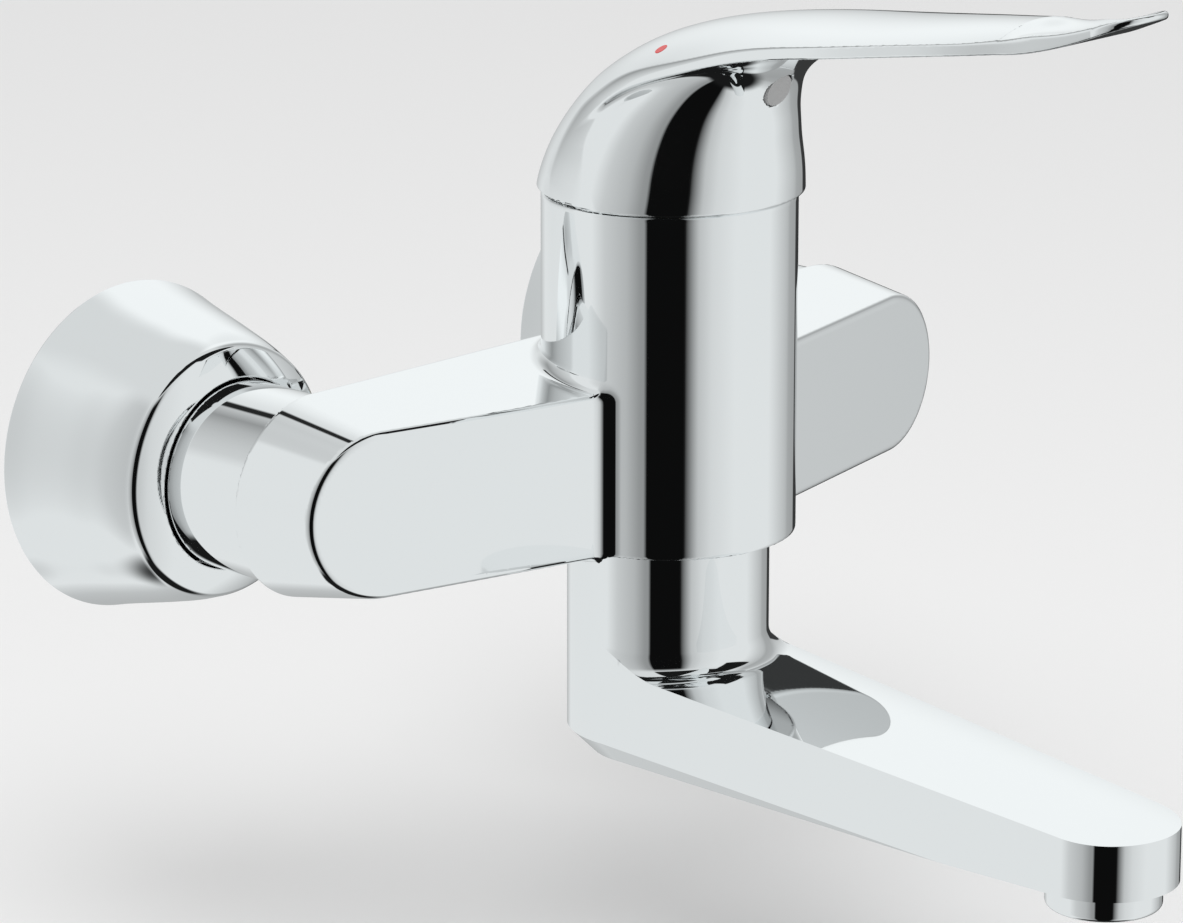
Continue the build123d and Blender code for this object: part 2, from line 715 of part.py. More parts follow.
with BuildPart() as stem:
    with BuildSketch(stem_plane):
        Rectangle(stem_side, stem_side)
    extrude(amount=stem_length)
    with BuildSketch(Plane.YZ.offset(-stem_hub_length / 2)):
        with Locations((axis_y, bar_z + pivot_rise)):
            Circle(stem_hub_r)
    extrude(amount=stem_hub_length)
    with BuildSketch(stem_plane.offset(-stem_ball_reach)):
        Circle(stem_arm_r)
    extrude(amount=stem_ball_reach)
    with Locations(stem_plane.offset(-stem_ball_reach)):
        Sphere(stem_ball_r)
    with BuildSketch(Plane.YZ.offset(-stem_hub_length)):
        with Locations((axis_y, bar_z + pivot_rise)):
            Circle(pivot_pin_r + running_clear)
    extrude(amount=stem_hub_length * 2, mode=Mode.SUBTRACT)
stem.part.label = "stem"
export_step(stem.part, "parts/stem.step")


# Lever: hollow dome, long crowned blade, and a boss with a square socket for the stem

lever_side = Plane(origin=(0, axis_y, bar_z + rim_rise), x_dir=(0, -1, 0), z_dir=(-1, 0, 0))
lever_above = Plane(origin=(0, axis_y, bar_z + rim_rise), x_dir=(0, -1, 0), z_dir=(0, 0, 1))
dome = [
    (dome_height * up, rim_r * wide, rim_r * (front - wide))
    for up, wide, front in zip(dome_height_shares, dome_radius_shares, dome_front_shares)
]


def touch_point(start, centre, radius):
    """Where a line from start touches the upper right side of a circle on local x."""
    reach = hypot(centre - start[0], start[1])
    turn = asin(radius / reach) - asin(start[1] / reach)
    length = sqrt(reach ** 2 - radius ** 2)
    return (start[0] + length * cos(turn), start[1] + length * sin(turn))


blade_top = [(blade_bend * f, blade_bend_rise * h) for f, h in blade_top_shares]
blade_low = [(blade_bend * f, blade_bend_rise * h) for f, h in blade_low_shares]
blade_thin_start = (blade_bend * blade_thin_share, blade_bend_rise * blade_thin_rise_share)
cap_line = [(blade_bend * f, cap_rise * h) for f, h, wide, bow in cap_shares]

with BuildPart() as lever_handle:
    # blade: its side view pulled across, then cut to its outline from above
    with BuildSketch(lever_side):
        with BuildLine():
            top = Spline(*blade_top, (blade_bend, blade_bend_rise))
            curl = Line(top @ 1, (blade_reach, blade_tip_rise))
            tip = Line(curl @ 1, (blade_reach, blade_tip_rise - blade_thick))
            under_curl = Line(tip @ 1, (blade_bend, blade_bend_rise - blade_thick))
            under = Line(under_curl @ 1, blade_thin_start)
            hollow = Spline(under @ 1, *reversed(blade_low))
            Line(hollow @ 1, top @ 0)
        make_face()
    extrude(amount=blade_root_half * 2, both=True)
    with BuildSketch(lever_above):
        with BuildLine():
            bend = (blade_bend, blade_bend_half)
            tangent = touch_point(bend, blade_reach - blade_tip_r, blade_tip_r)
            root = (blade_back_centre + blade_root_length, blade_root_half)
            back = ThreePointArc(
                (blade_back_centre, -blade_root_half),
                (blade_back_centre - blade_root_half, 0),
                (blade_back_centre, blade_root_half),
            )
            upper = Polyline(back @ 1, root, bend, tangent)
            nose = ThreePointArc(upper @ 1, (blade_reach, 0), (tangent[0], -tangent[1]))
            Polyline(nose @ 1, (bend[0], -bend[1]), (root[0], -root[1]), back @ 0)
        make_face()
    extrude(amount=blade_tip_rise * 2, mode=Mode.INTERSECT)
    # cap: sections across its middle line, round on top and flat below
    for place, (f, h, wide, bow) in enumerate(cap_shares):
        back, front = cap_line[max(place - 1, 0)], cap_line[min(place + 1, len(cap_line) - 1)]
        half, crown_r = cap_half * wide, cap_crown_r * bow
        sag = crown_r - sqrt(crown_r ** 2 - half ** 2)
        section = Plane(
            origin=(0, axis_y - cap_line[place][0], bar_z + rim_rise + cap_line[place][1]),
            x_dir=(1, 0, 0),
            z_dir=(0, back[0] - front[0], front[1] - back[1]),
        )
        with BuildSketch(section):
            with BuildLine():
                crown = ThreePointArc((-half, -sag), (0, 0), (half, -sag))
                Polyline(crown @ 1, (half, -sag - blade_thick), (-half, -sag - blade_thick), crown @ 0)
            make_face()
    loft()
    # dome: round sections that move forward as they rise
    for height, radius, forward in dome:
        with BuildSketch(level(rim_rise + height, forward)):
            Circle(radius)
    loft()
    # hollow under the dome, round sections that follow the outside
    mouth = [(-cut_over, rim_inner_r, 0), (rim_land, rim_inner_r, 0)]
    cavity = mouth + [(up, wide - lever_wall, front) for up, wide, front in dome[1:cavity_sections]]
    for height, radius, forward in cavity:
        with BuildSketch(level(rim_rise + height, forward)):
            Circle(radius)
    loft(ruled=True, mode=Mode.SUBTRACT)
    # boss around the stem, from the roof of the hollow down
    with BuildSketch(stem_plane.offset(boss_low)):
        Circle(boss_r)
    extrude(amount=boss_length)
    with BuildSketch(stem_plane.offset(boss_low - cut_over)):
        Rectangle(stem_side + socket_clear * 2, stem_side + socket_clear * 2)
    extrude(amount=stem_length + seat_clear - boss_low + cut_over, mode=Mode.SUBTRACT)
    # grub screw's thread from the socket to the front, and the wider hole of its plug
    with BuildSketch(off_wall(wall_to_axis, 0, bar_z + rim_rise + grub_rise)):
        Circle(grub_r + thread_clear)
    extrude(amount=plug_face + plug_r, mode=Mode.SUBTRACT)
    with BuildSketch(off_wall(wall_to_axis + plug_face - plug_depth, 0, bar_z + rim_rise + grub_rise)):
        Circle(plug_r + thread_clear)
    extrude(amount=plug_depth + plug_r, mode=Mode.SUBTRACT)
    # holes for the two marks
    for side in (-1, 1):
        with BuildSketch(dot_plane(side).offset(-dot_depth)):
            Circle(dot_r + seat_clear)
        extrude(amount=dot_depth * 2, mode=Mode.SUBTRACT)
lever_handle.part.label = "lever_handle"
export_step(lever_handle.part, "parts/lever_handle.step")

# Grub screw: its tip stands just clear of the leaning stem
tip_rise = rim_rise + grub_rise + grub_r - pivot_rise
grub_tip = tip_rise * tan(stem_tilt) + stem_side / 2 / cos(stem_tilt) + seat_clear
with BuildPart() as grub_screw:
    with BuildSketch(off_wall(wall_to_axis + grub_tip, 0, bar_z + rim_rise + grub_rise)):
        Circle(grub_r)
    extrude(amount=grub_length)
    with BuildSketch(off_wall(wall_to_axis + grub_tip + grub_length, 0, bar_z + rim_rise + grub_rise)):
        RegularPolygon(grub_key_r, 6)
    extrude(amount=-grub_key_depth, mode=Mode.SUBTRACT)
grub_screw.part.label = "grub_screw"
export_step(grub_screw.part, "parts/grub_screw.step")

plug_lean_angle = radians(plug_lean)
plug_face_plane = Plane(
    origin=(0, axis_y - plug_face, bar_z + rim_rise + grub_rise),
    x_dir=(1, 0, 0),
    z_dir=(0, -cos(plug_lean_angle), -sin(plug_lean_angle)),
)
with BuildPart() as screw_plug:
    with BuildSketch(off_wall(wall_to_axis + plug_face, 0, bar_z + rim_rise + grub_rise)):
        Circle(plug_r)
    extrude(amount=plug_r)
    extrude(screw_plug.faces().sort_by(Axis.Y)[-1], amount=plug_depth - seat_clear)
    split(bisect_by=plug_face_plane, keep=Keep.BOTTOM)
screw_plug.part.label = "screw_plug"
export_step(screw_plug.part, "parts/screw_plug.step")

for side, name in ((-1, "hot_mark"), (1, "cold_mark")):
    with BuildPart() as mark:
        with BuildSketch(dot_plane(side).offset(seat_clear - dot_depth)):
            Circle(dot_r)
        extrude(amount=dot_depth - seat_clear + dot_proud)
    mark.part.label = name
    export_step(mark.part, f"parts/{name}.step")


# Swivel nipple: screwed into the body, it carries the spout

with BuildPart() as spout_nipple:
    with BuildSketch(level(-nipple_drop)):
        Circle(nipple_r)
    extrude(amount=nipple_drop - body_drop)
    chamfer(spout_nipple.edges().group_by(Axis.Z)[0], nipple_chamfer)
    with BuildSketch(level(-body_drop)):
        Circle(nipple_thread_r)
    extrude(amount=nipple_thread_length)
    with BuildSketch(level(-nipple_drop - cut_over)):
        Circle(nipple_bore_r)
    extrude(amount=nipple_drop - body_drop + nipple_thread_length + cut_over * 2, mode=Mode.SUBTRACT)
    # two round grooves for the sealing rings
    with BuildSketch(upright_section()):
        for drop in ring_drops:
            with Locations((nipple_r, -drop)):
                Rectangle((nipple_r - ring_groove_r) * 2, ring_cord_r * 2 + seat_clear * 2)
    revolve(axis=upright_axis, mode=Mode.SUBTRACT)
    # stop groove, open over the swing of the spout at the back
    with BuildSketch(level(-stop_groove_drop - stop_screw_r - seat_clear)):
        Circle(nipple_r + cut_over)
        Circle(stop_groove_r, mode=Mode.SUBTRACT)
        with BuildLine():
            sector(nipple_r + cut_over, groove_half_angle, 90)
        make_face(mode=Mode.INTERSECT)
    extrude(amount=(stop_screw_r + seat_clear) * 2, mode=Mode.SUBTRACT)
spout_nipple.part.label = "spout_nipple"
export_step(spout_nipple.part, "parts/spout_nipple.step")

for drop, place in zip(ring_drops, ("upper", "lower")):
    with BuildPart() as nipple_ring:
        with BuildSketch(upright_section()):
            with Locations((ring_groove_r + ring_cord_r, -drop)):
                Circle(ring_cord_r)
        revolve(axis=upright_axis)
    nipple_ring.part.label = f"nipple_ring_{place}"
    export_step(nipple_ring.part, f"parts/nipple_ring_{place}.step")

with BuildPart() as glide_ring:
    with BuildSketch(level(-body_drop)):
        Circle(glide_ring_r)
        Circle(nipple_r + seat_clear, mode=Mode.SUBTRACT)
    extrude(amount=-glide_ring_length)
glide_ring.part.label = "glide_ring"
export_step(glide_ring.part, "parts/glide_ring.step")


# Spout: column, sloping arm and a nose that holds the aerator

def hull(root_r, far_r, reach):
    """Outline around two circles, the first on the sketch's origin and the second forward."""
    spread = asin((root_r - far_r) / reach)
    lean_x, lean_y = cos(spread), sin(spread)
    left, right = (-root_r * lean_x, -root_r * lean_y), (root_r * lean_x, -root_r * lean_y)
    far_left = (-far_r * lean_x, -reach - far_r * lean_y)
    far_right = (far_r * lean_x, -reach - far_r * lean_y)
    ThreePointArc(left, (0, root_r), right)
    Line(right, far_right)
    ThreePointArc(far_right, (0, -reach - far_r), far_left)
    Line(far_left, left)


with BuildPart() as spout_body:
    # arm: a crowned bar pulled along the slope, cut to its outline from above
    with BuildSketch(spout_slope_plane):
        with BuildLine():
            crown = ThreePointArc((-bar_half, -crown_sag), (0, 0), (bar_half, -crown_sag))
            Polyline(crown @ 1, (bar_half, -arm_bar_depth), (-bar_half, -arm_bar_depth), crown @ 0)
        make_face()
    extrude(amount=spout_bar_length, both=True)
    with BuildSketch(level(-spout_bottom)):
        with BuildLine():
            hull(column_r, nose_r, spout_reach)
        make_face()
    extrude(amount=spout_bottom, mode=Mode.INTERSECT)
    with BuildSketch(level(-spout_bottom)):
        with BuildLine():
            hull(column_r - keel_inset, keel_far_r, spout_reach)
        make_face()
    extrude(amount=spout_bottom - spout_top_drop + keel_inset, taper=-keel_taper, mode=Mode.INTERSECT)
    # column, from inside the arm up to the body
    with BuildSketch(level(-body_drop - column_gap)):
        Circle(column_r)
    extrude(amount=body_drop + column_gap - spout_bottom + keel_inset)
    # bore for the nipple, with a seat for the glide ring at the top
    with BuildSketch(level(-chamber_low)):
        Circle(nipple_r + running_clear)
    extrude(amount=chamber_low, mode=Mode.SUBTRACT)
    with BuildSketch(level(-body_drop - glide_ring_length - column_gap)):
        Circle(glide_ring_r + move_clear)
    extrude(amount=glide_ring_length + column_gap + cut_over, mode=Mode.SUBTRACT)
    with BuildSketch(level(-spout_bottom - cut_over)):
        Circle(base_plug_r + thread_clear)
    extrude(amount=spout_bottom - chamber_low + cut_over * 2, mode=Mode.SUBTRACT)
    # way for the water from the column to the nose
    with BuildSketch(upright_section(0, column_r / 2)):
        with Locations((0, -duct_root_drop)):
            Rectangle(duct_root_half_x * 2, duct_root_half_z * 2)
    with BuildSketch(upright_section(0, spout_reach)):
        with Locations((0, -aerator_roof - duct_nose_half_z)):
            Rectangle(duct_nose_half_x * 2, duct_nose_half_z * 2)
    loft(ruled=True, mode=Mode.SUBTRACT)
    # threaded bore for the aerator
    with BuildSketch(level(-spout_bottom - cut_over, spout_reach)):
        Circle(aerator_thread_r + thread_clear)
    extrude(amount=spout_bottom - aerator_roof + cut_over, mode=Mode.SUBTRACT)
    # stop screw's hole at the back
    with BuildSketch(off_wall(wall_to_axis - column_r - cut_over, 0, bar_z - stop_groove_drop)):
        Circle(stop_screw_r + thread_clear)
    extrude(amount=column_r - nipple_bore_r + cut_over, mode=Mode.SUBTRACT)
spout_body.part.label = "spout_body"
export_step(spout_body.part, "parts/spout_body.step")

with BuildPart() as stop_screw:
    with BuildSketch(off_wall(wall_to_axis - stop_screw_head, 0, bar_z - stop_groove_drop)):
        Circle(stop_screw_r)
    extrude(amount=stop_screw_head - stop_screw_tip_r)
    with BuildSketch(off_wall(wall_to_axis - stop_screw_head, 0, bar_z - stop_groove_drop)):
        RegularPolygon(stop_screw_key_r, 6)
    extrude(amount=stop_screw_key_depth, mode=Mode.SUBTRACT)
stop_screw.part.label = "stop_screw"
export_step(stop_screw.part, "parts/stop_screw.step")

with BuildPart() as base_plug:
    with BuildSketch(level(-spout_bottom)):
        Circle(base_plug_r)
    extrude(amount=base_plug_thick)
base_plug.part.label = "base_plug"
export_step(base_plug.part, "parts/base_plug.step")


# Aerator: screwed into the nose, with its cup, screens, straightener and seal

with BuildPart() as aerator_housing:
    with BuildSketch(level(-aerator_bottom, spout_reach)):
        Circle(aerator_r)
    extrude(amount=aerator_bottom - spout_bottom - seat_clear)
    fillet(aerator_housing.edges().group_by(Axis.Z)[0], aerator_round)
    with BuildSketch(level(-spout_bottom - seat_clear, spout_reach)):
        Circle(aerator_thread_r)
    extrude(amount=spout_bottom + seat_clear - aerator_thread_top)
    with BuildSketch(level(-aerator_bottom + aerator_lip_thick, spout_reach)):
        Circle(aerator_bore_r)
    extrude(amount=aerator_bottom, mode=Mode.SUBTRACT)
    with BuildSketch(level(-aerator_bottom - cut_over, spout_reach)):
        Circle(aerator_bore_r - aerator_lip)
    extrude(amount=aerator_lip_thick + cut_over * 2, mode=Mode.SUBTRACT)
aerator_housing.part.label = "aerator_housing"
export_step(aerator_housing.part, "parts/aerator_housing.step")

with BuildPart() as aerator_straightener:
    with BuildSketch(level(-aerator_bottom + aerator_lip_thick, spout_reach)):
        Circle(aerator_bore_r - seat_clear)
        with HexLocations(straightener_pitch / 2, straightener_rows, straightener_rows):
            Circle(straightener_hole_r, mode=Mode.SUBTRACT)
    extrude(amount=straightener_thick)
aerator_straightener.part.label = "aerator_straightener"
export_step(aerator_straightener.part, "parts/aerator_straightener.step")

with BuildPart() as aerator_screens:
    for index in range(screen_count):
        with BuildSketch(level(screen_low + (screen_thick + screen_gap) * index, spout_reach)):
            Circle(aerator_bore_r - seat_clear)
            with HexLocations(screen_pitch / 2, screen_rows, screen_rows):
                Circle(screen_hole_r, mode=Mode.SUBTRACT)
        extrude(amount=screen_thick)
aerator_screens.part.label = "aerator_screens"
export_step(aerator_screens.part, "parts/aerator_screens.step")

with BuildPart() as aerator_insert:
    with BuildSketch(level(insert_low, spout_reach)):
        Circle(aerator_bore_r - seat_clear)
    extrude(amount=-aerator_thread_top - insert_low)
    with BuildSketch(level(insert_low - cut_over, spout_reach)):
        Circle(aerator_bore_r - insert_wall)
    extrude(amount=-aerator_thread_top - insert_floor - insert_low + cut_over, mode=Mode.SUBTRACT)
    with BuildSketch(level(-aerator_thread_top - insert_floor - cut_over, spout_reach)):
        with PolarLocations(insert_hole_circle_r, insert_hole_count):
            Circle(insert_hole_r)
    extrude(amount=insert_floor + cut_over * 2, mode=Mode.SUBTRACT)
aerator_insert.part.label = "aerator_insert"
export_step(aerator_insert.part, "parts/aerator_insert.step")

with BuildPart() as aerator_seal:
    with BuildSketch(level(-aerator_thread_top, spout_reach)):
        Circle(aerator_thread_r)
        Circle(aerator_seal_hole_r, mode=Mode.SUBTRACT)
    extrude(amount=aerator_seal_thick)
aerator_seal.part.label = "aerator_seal"
export_step(aerator_seal.part, "parts/aerator_seal.step")
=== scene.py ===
import json
import bmesh
import bpy
import numpy as np
from math import asin, cos, degrees, pi, radians, sin, tan
from mathutils import Matrix, Vector
from mathutils.geometry import tessellate_polygon


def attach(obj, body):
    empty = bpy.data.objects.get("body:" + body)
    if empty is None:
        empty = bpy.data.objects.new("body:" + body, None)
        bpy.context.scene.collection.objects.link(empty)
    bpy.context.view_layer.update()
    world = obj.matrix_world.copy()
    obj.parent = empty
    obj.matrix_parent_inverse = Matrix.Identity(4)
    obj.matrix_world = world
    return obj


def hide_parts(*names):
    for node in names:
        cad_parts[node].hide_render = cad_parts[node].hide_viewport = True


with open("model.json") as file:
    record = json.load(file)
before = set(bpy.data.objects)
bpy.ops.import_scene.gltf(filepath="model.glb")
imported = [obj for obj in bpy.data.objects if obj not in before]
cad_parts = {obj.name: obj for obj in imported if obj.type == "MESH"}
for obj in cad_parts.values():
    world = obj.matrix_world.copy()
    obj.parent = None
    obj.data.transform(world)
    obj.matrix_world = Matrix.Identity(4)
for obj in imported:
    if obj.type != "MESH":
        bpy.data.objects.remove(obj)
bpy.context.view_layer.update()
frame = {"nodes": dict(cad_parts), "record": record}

# All lengths below are in millimetres. A point is (across, forward, rise): across runs
# right along the wall, forward runs from the tap's upright axis to the user, and rise
# starts at the bar's axis.
MM = 0.001
AXIS_OFF_WALL = 84.0
BAR_HEIGHT = 10.0
INLET_X = 75.0

# Body and arms
BODY_R, BODY_TOP, BODY_LOW = 26.6, 56.0, -16.65
BODY_BEVEL, BODY_ROUND, BODY_SEAT_EDGE = 0.8, 0.9, 0.5
CHAMBER_R, CHAMBER_FLOOR = 23.1, 6.0
BLEND_R = 3.0
ARM_SWEEP = radians(13.2)
ARM_FRONT_HALF, ARM_FRONT_RISE = 17.3, 0.65
ARM_FRONT_X, ARM_FRONT_BACK = 76.3, 5.05
ARM_BACK_HALF, ARM_BACK = 21.3, 28.7
ARM_EDGE, ARM_BACK_EDGE, CHAMBER_EDGE = 1.3, 0.5, 0.4
BODY_SPACE = (-98, -31, -23), (98, 28, 58)
BODY_NET, BODY_NET_QUICK = 0.6, 0.9
# values well outside and well inside a shape, where nothing is cut
FAR_OUTSIDE, WELL_INSIDE = 99.0, -9.0

# Spout
COLUMN_R, NOSE_R, REACH = 21.2, 15.0, 119.3
COLUMN_TOP, SPOUT_LOW = -16.95, -64.4
SPOUT_CROWN_LINE, SPOUT_SLOPE, SPOUT_CROWN_R = -40.3, radians(5.25), 120.0
SPOUT_BLEND, SPOUT_EDGE = 4.6, 0.35
KEEL_INSET, KEEL_FADE = 5.1, 90.0
PLUG_HOLE_R, AERATOR_HOLE_R, AERATOR_ROOF = 12.05, 11.0, -55.3
SEAT_R, SEAT_LOW, BORE_R, BORE_LOW = 17.35, -19.55, 15.05, -60.5
ARM_POINTS, NOSE_POINTS, BACK_POINTS, HOLE_SIDES = 70, 73, 97, 72
BLEND_ROWS, SIDE_ROWS, COLUMN_ROWS = 46, 10, 12
WALL_DENSITY, BLEND_DENSITY = 1.3, 2.0

# Escutcheons and covers, with distances off the wall
BELL_DEPTHS = (0.0, 4.0, 8.0, 12.0, 16.0, 20.0, 24.0, 27.0, 29.38)
BELL_RADII = (34.75, 33.65, 32.65, 31.7, 30.75, 29.75, 28.7, 27.75, 26.87)
SHEET = 1.2
SHOULDER_R, SHOULDER_OFF, SHOULDER_ROUND = 24.35, 28.75, 2.6
SHOULDER_FROM, SHOULDER_TO = 14, 62
COLLAR_BORE, COLLAR_SLOPE, COLLAR_CROWN = 20.1, 0.56, 0.027
ESCUTCHEON_EDGE, COVER_EDGE, AERATOR_EDGE = 0.25, 0.3, 0.2
BELL_ROWS, COLLAR_ROWS, LIP_POINTS = 48, 24, 12
BELL_SIDES, COVER_SIDES, AERATOR_SIDES = 256, 192, 144
COVER_R, COVER_NEAR, COVER_FAR, COVER_FLOOR, TAIL_R = 19.7, 24.0, 55.2, 1.9, 11.1

# Aerator ring
AERATOR_R, AERATOR_ROUND, AERATOR_LOW, AERATOR_HIGH = 11.75, 1.1, -69.95, -64.5
AERATOR_THREAD, AERATOR_TOP, AERATOR_BORE = 10.95, -58.8, 9.45
AERATOR_MOUTH, AERATOR_LIP = 8.45, 0.9

# Lever, with heights above its rim
RIM = 56.25
BLADE_TIP, TIP_R, BLADE_THICK = 127.0, 9.0, 2.3
BLADE_BEND, NECK_BLEND = 98.6, 1.6
LEVER_WALL, RIM_INNER = 2.3, 27.15
PIVOT_RISE, LIFT_PLAY, LIFT_STEPS = 43.0, 0.3, np.radians((4, 8, 12, 16, 19, 22.2))
PLUG_RISE, PLUG_SEAT_R, PLUG_SEAT_BACK, PLUG_EDGE = 24.8, 3.5, 26.5, 0.15
NECK_TOP, BEND_EDGE, BLADE_EDGE, RIM_EDGE = 37.5, 0.25, 0.5, 0.5
HOLLOW_TOP, HOLLOW_LIMIT, RIM_LAND = 20.5, 22.2, 0.5
# distance from a sloping face, as a share of the height above it
CURL_SHARE, NECK_SHARE, UNDER_SHARE = 0.95, 0.9, 0.8
LEVER_SPACE = (-30, -31, -2), (30, BLADE_TIP + 3, 60)
LEVER_NET, LEVER_NET_QUICK = 0.42, 0.7


# Meshes

def place(points):
    """Row frame, in metres, of points given as (across, forward, rise) in millimetres."""
    p = np.asarray(points, float)
    return np.stack([p[..., 0], -AXIS_OFF_WALL - p[..., 1], BAR_HEIGHT + p[..., 2]], -1) * MM


def grid_faces(rows, columns, start, wrap):
    """Quads of a grid of points; wrap joins its last column to its first."""
    faces = []
    for i in range(rows - 1):
        for j in range(columns if wrap else columns - 1):
            k = (j + 1) % columns
            faces.append((start + i * columns + j, start + i * columns + k,
                          start + (i + 1) * columns + k, start + (i + 1) * columns + j))
    return faces


class Skin:
    """Collects patches of one piece, then welds them into one smooth mesh with rounded edges."""

    def __init__(self):
        self.points, self.faces, self.count = [], [], 0

    def patch(self, points, wrap=False):
        p = np.asarray(points, float)
        self.faces += grid_faces(p.shape[0], p.shape[1], self.count, wrap)
        self.points.append(p.reshape(-1, 3))
        self.count += p.shape[0] * p.shape[1]

    def build(self, name, edge_round, weld=0.004, edge_angle=24):
        mesh = bpy.data.meshes.new(name)
        mesh.from_pydata([Vector(p) for p in place(np.concatenate(self.points))], [], self.faces)
        bm = bmesh.new()
        bm.from_mesh(mesh)
        bmesh.ops.remove_doubles(bm, verts=bm.verts, dist=weld * MM)
        bmesh.ops.dissolve_degenerate(bm, edges=bm.edges, dist=weld * MM / 2)
        bmesh.ops.recalc_face_normals(bm, faces=bm.faces)
        weight = bm.edges.layers.float.new("bevel_weight_edge")
        for edge in bm.edges:
            if len(edge.link_faces) == 2 and edge.calc_face_angle() > radians(edge_angle):
                edge[weight] = 1.0
        for face in bm.faces:
            face.smooth = True
        bm.to_mesh(mesh)
        bm.free()
        piece = bpy.data.objects.new(name, mesh)
        bpy.context.scene.collection.objects.link(piece)
        bevel = piece.modifiers.new("edges", "BEVEL")
        bevel.limit_method = "WEIGHT"
        bevel.width = edge_round * MM
        bevel.segments = 3
        bevel.use_clamp_overlap = True
        bevel.harden_normals = True
        return piece


def spline(xs, ys):
    """Smooth curve through points, straight beyond its ends."""
    xs, ys = np.asarray(xs, float), np.asarray(ys, float)
    n, h = len(xs), np.diff(xs)
    a, r = np.eye(n), np.zeros(n)
    for i in range(1, n - 1):
        a[i, i - 1], a[i, i], a[i, i + 1] = h[i - 1], 2 * (h[i - 1] + h[i]), h[i]
        r[i] = 6 * ((ys[i + 1] - ys[i]) / h[i] - (ys[i] - ys[i - 1]) / h[i - 1])
    m = np.linalg.solve(a, r)
    first = (ys[1] - ys[0]) / h[0] - h[0] * m[1] / 6
    last = (ys[-1] - ys[-2]) / h[-1] + h[-1] * m[-2] / 6

    def at(x):
        x = np.asarray(x, float)
        i = np.clip(np.searchsorted(xs, x) - 1, 0, n - 2)
        p, q = (xs[i + 1] - x) / h[i], (x - xs[i]) / h[i]
        y = p * ys[i] + q * ys[i + 1] + ((p ** 3 - p) * m[i] + (q ** 3 - q) * m[i + 1]) * h[i] ** 2 / 6
        y = np.where(x < xs[0], ys[0] + first * (x - xs[0]), y)
        return np.where(x > xs[-1], ys[-1] + last * (x - xs[-1]), y)
    return at


def raised(plan, rise):
    """Points of a plan, all at one rise or each at its own."""
    return np.column_stack([plan, np.broadcast_to(rise, len(plan))])


def arc(cx, cy, radius, start, end, count):
    """Points of an arc in a plane, with its angles in degrees."""
    t = np.radians(np.linspace(start, end, count))
    return np.stack([cx + radius * np.cos(t), cy + radius * np.sin(t)], -1)


def turned(skin, profile, count, across=0.0, forward=0.0, along_y=False):
    """Revolves (radius, height) points about an upright axis, or about one to the wall."""
    p = np.asarray(profile, float)
    t = np.linspace(0, 2 * pi, count, endpoint=False)
    ring = np.zeros((len(p), count, 3))
    ring[..., 0] = across + p[:, :1] * np.cos(t)
    if along_y:
        ring[..., 1] = p[:, 1:] - AXIS_OFF_WALL
        ring[..., 2] = p[:, :1] * np.sin(t)
    else:
        ring[..., 1] = forward + p[:, :1] * np.sin(t)
        ring[..., 2] = p[:, 1:]
    skin.patch(ring, wrap=True)


# Solids given by a function that is below zero inside them, covered by a fine net of quads

def rounded_cut(a, b, r):
    """Where two shapes overlap, with their shared edge rounded."""
    return np.minimum(np.maximum(a, b), -r) + np.hypot(np.maximum(a + r, 0), np.maximum(b + r, 0))


def soft_join(a, b, k):
    """Two shapes as one, with a small hollow blend between them."""
    t = np.clip(0.5 + 0.5 * (b - a) / k, 0, 1)
    return b + (a - b) * t - k * t * (1 - t)


def hollow_join(a, b, r):
    """Two shapes as one, with a round hollow of that radius between them."""
    return np.maximum(np.minimum(a, b), r) - np.hypot(np.maximum(r - a, 0), np.maximum(r - b, 0))


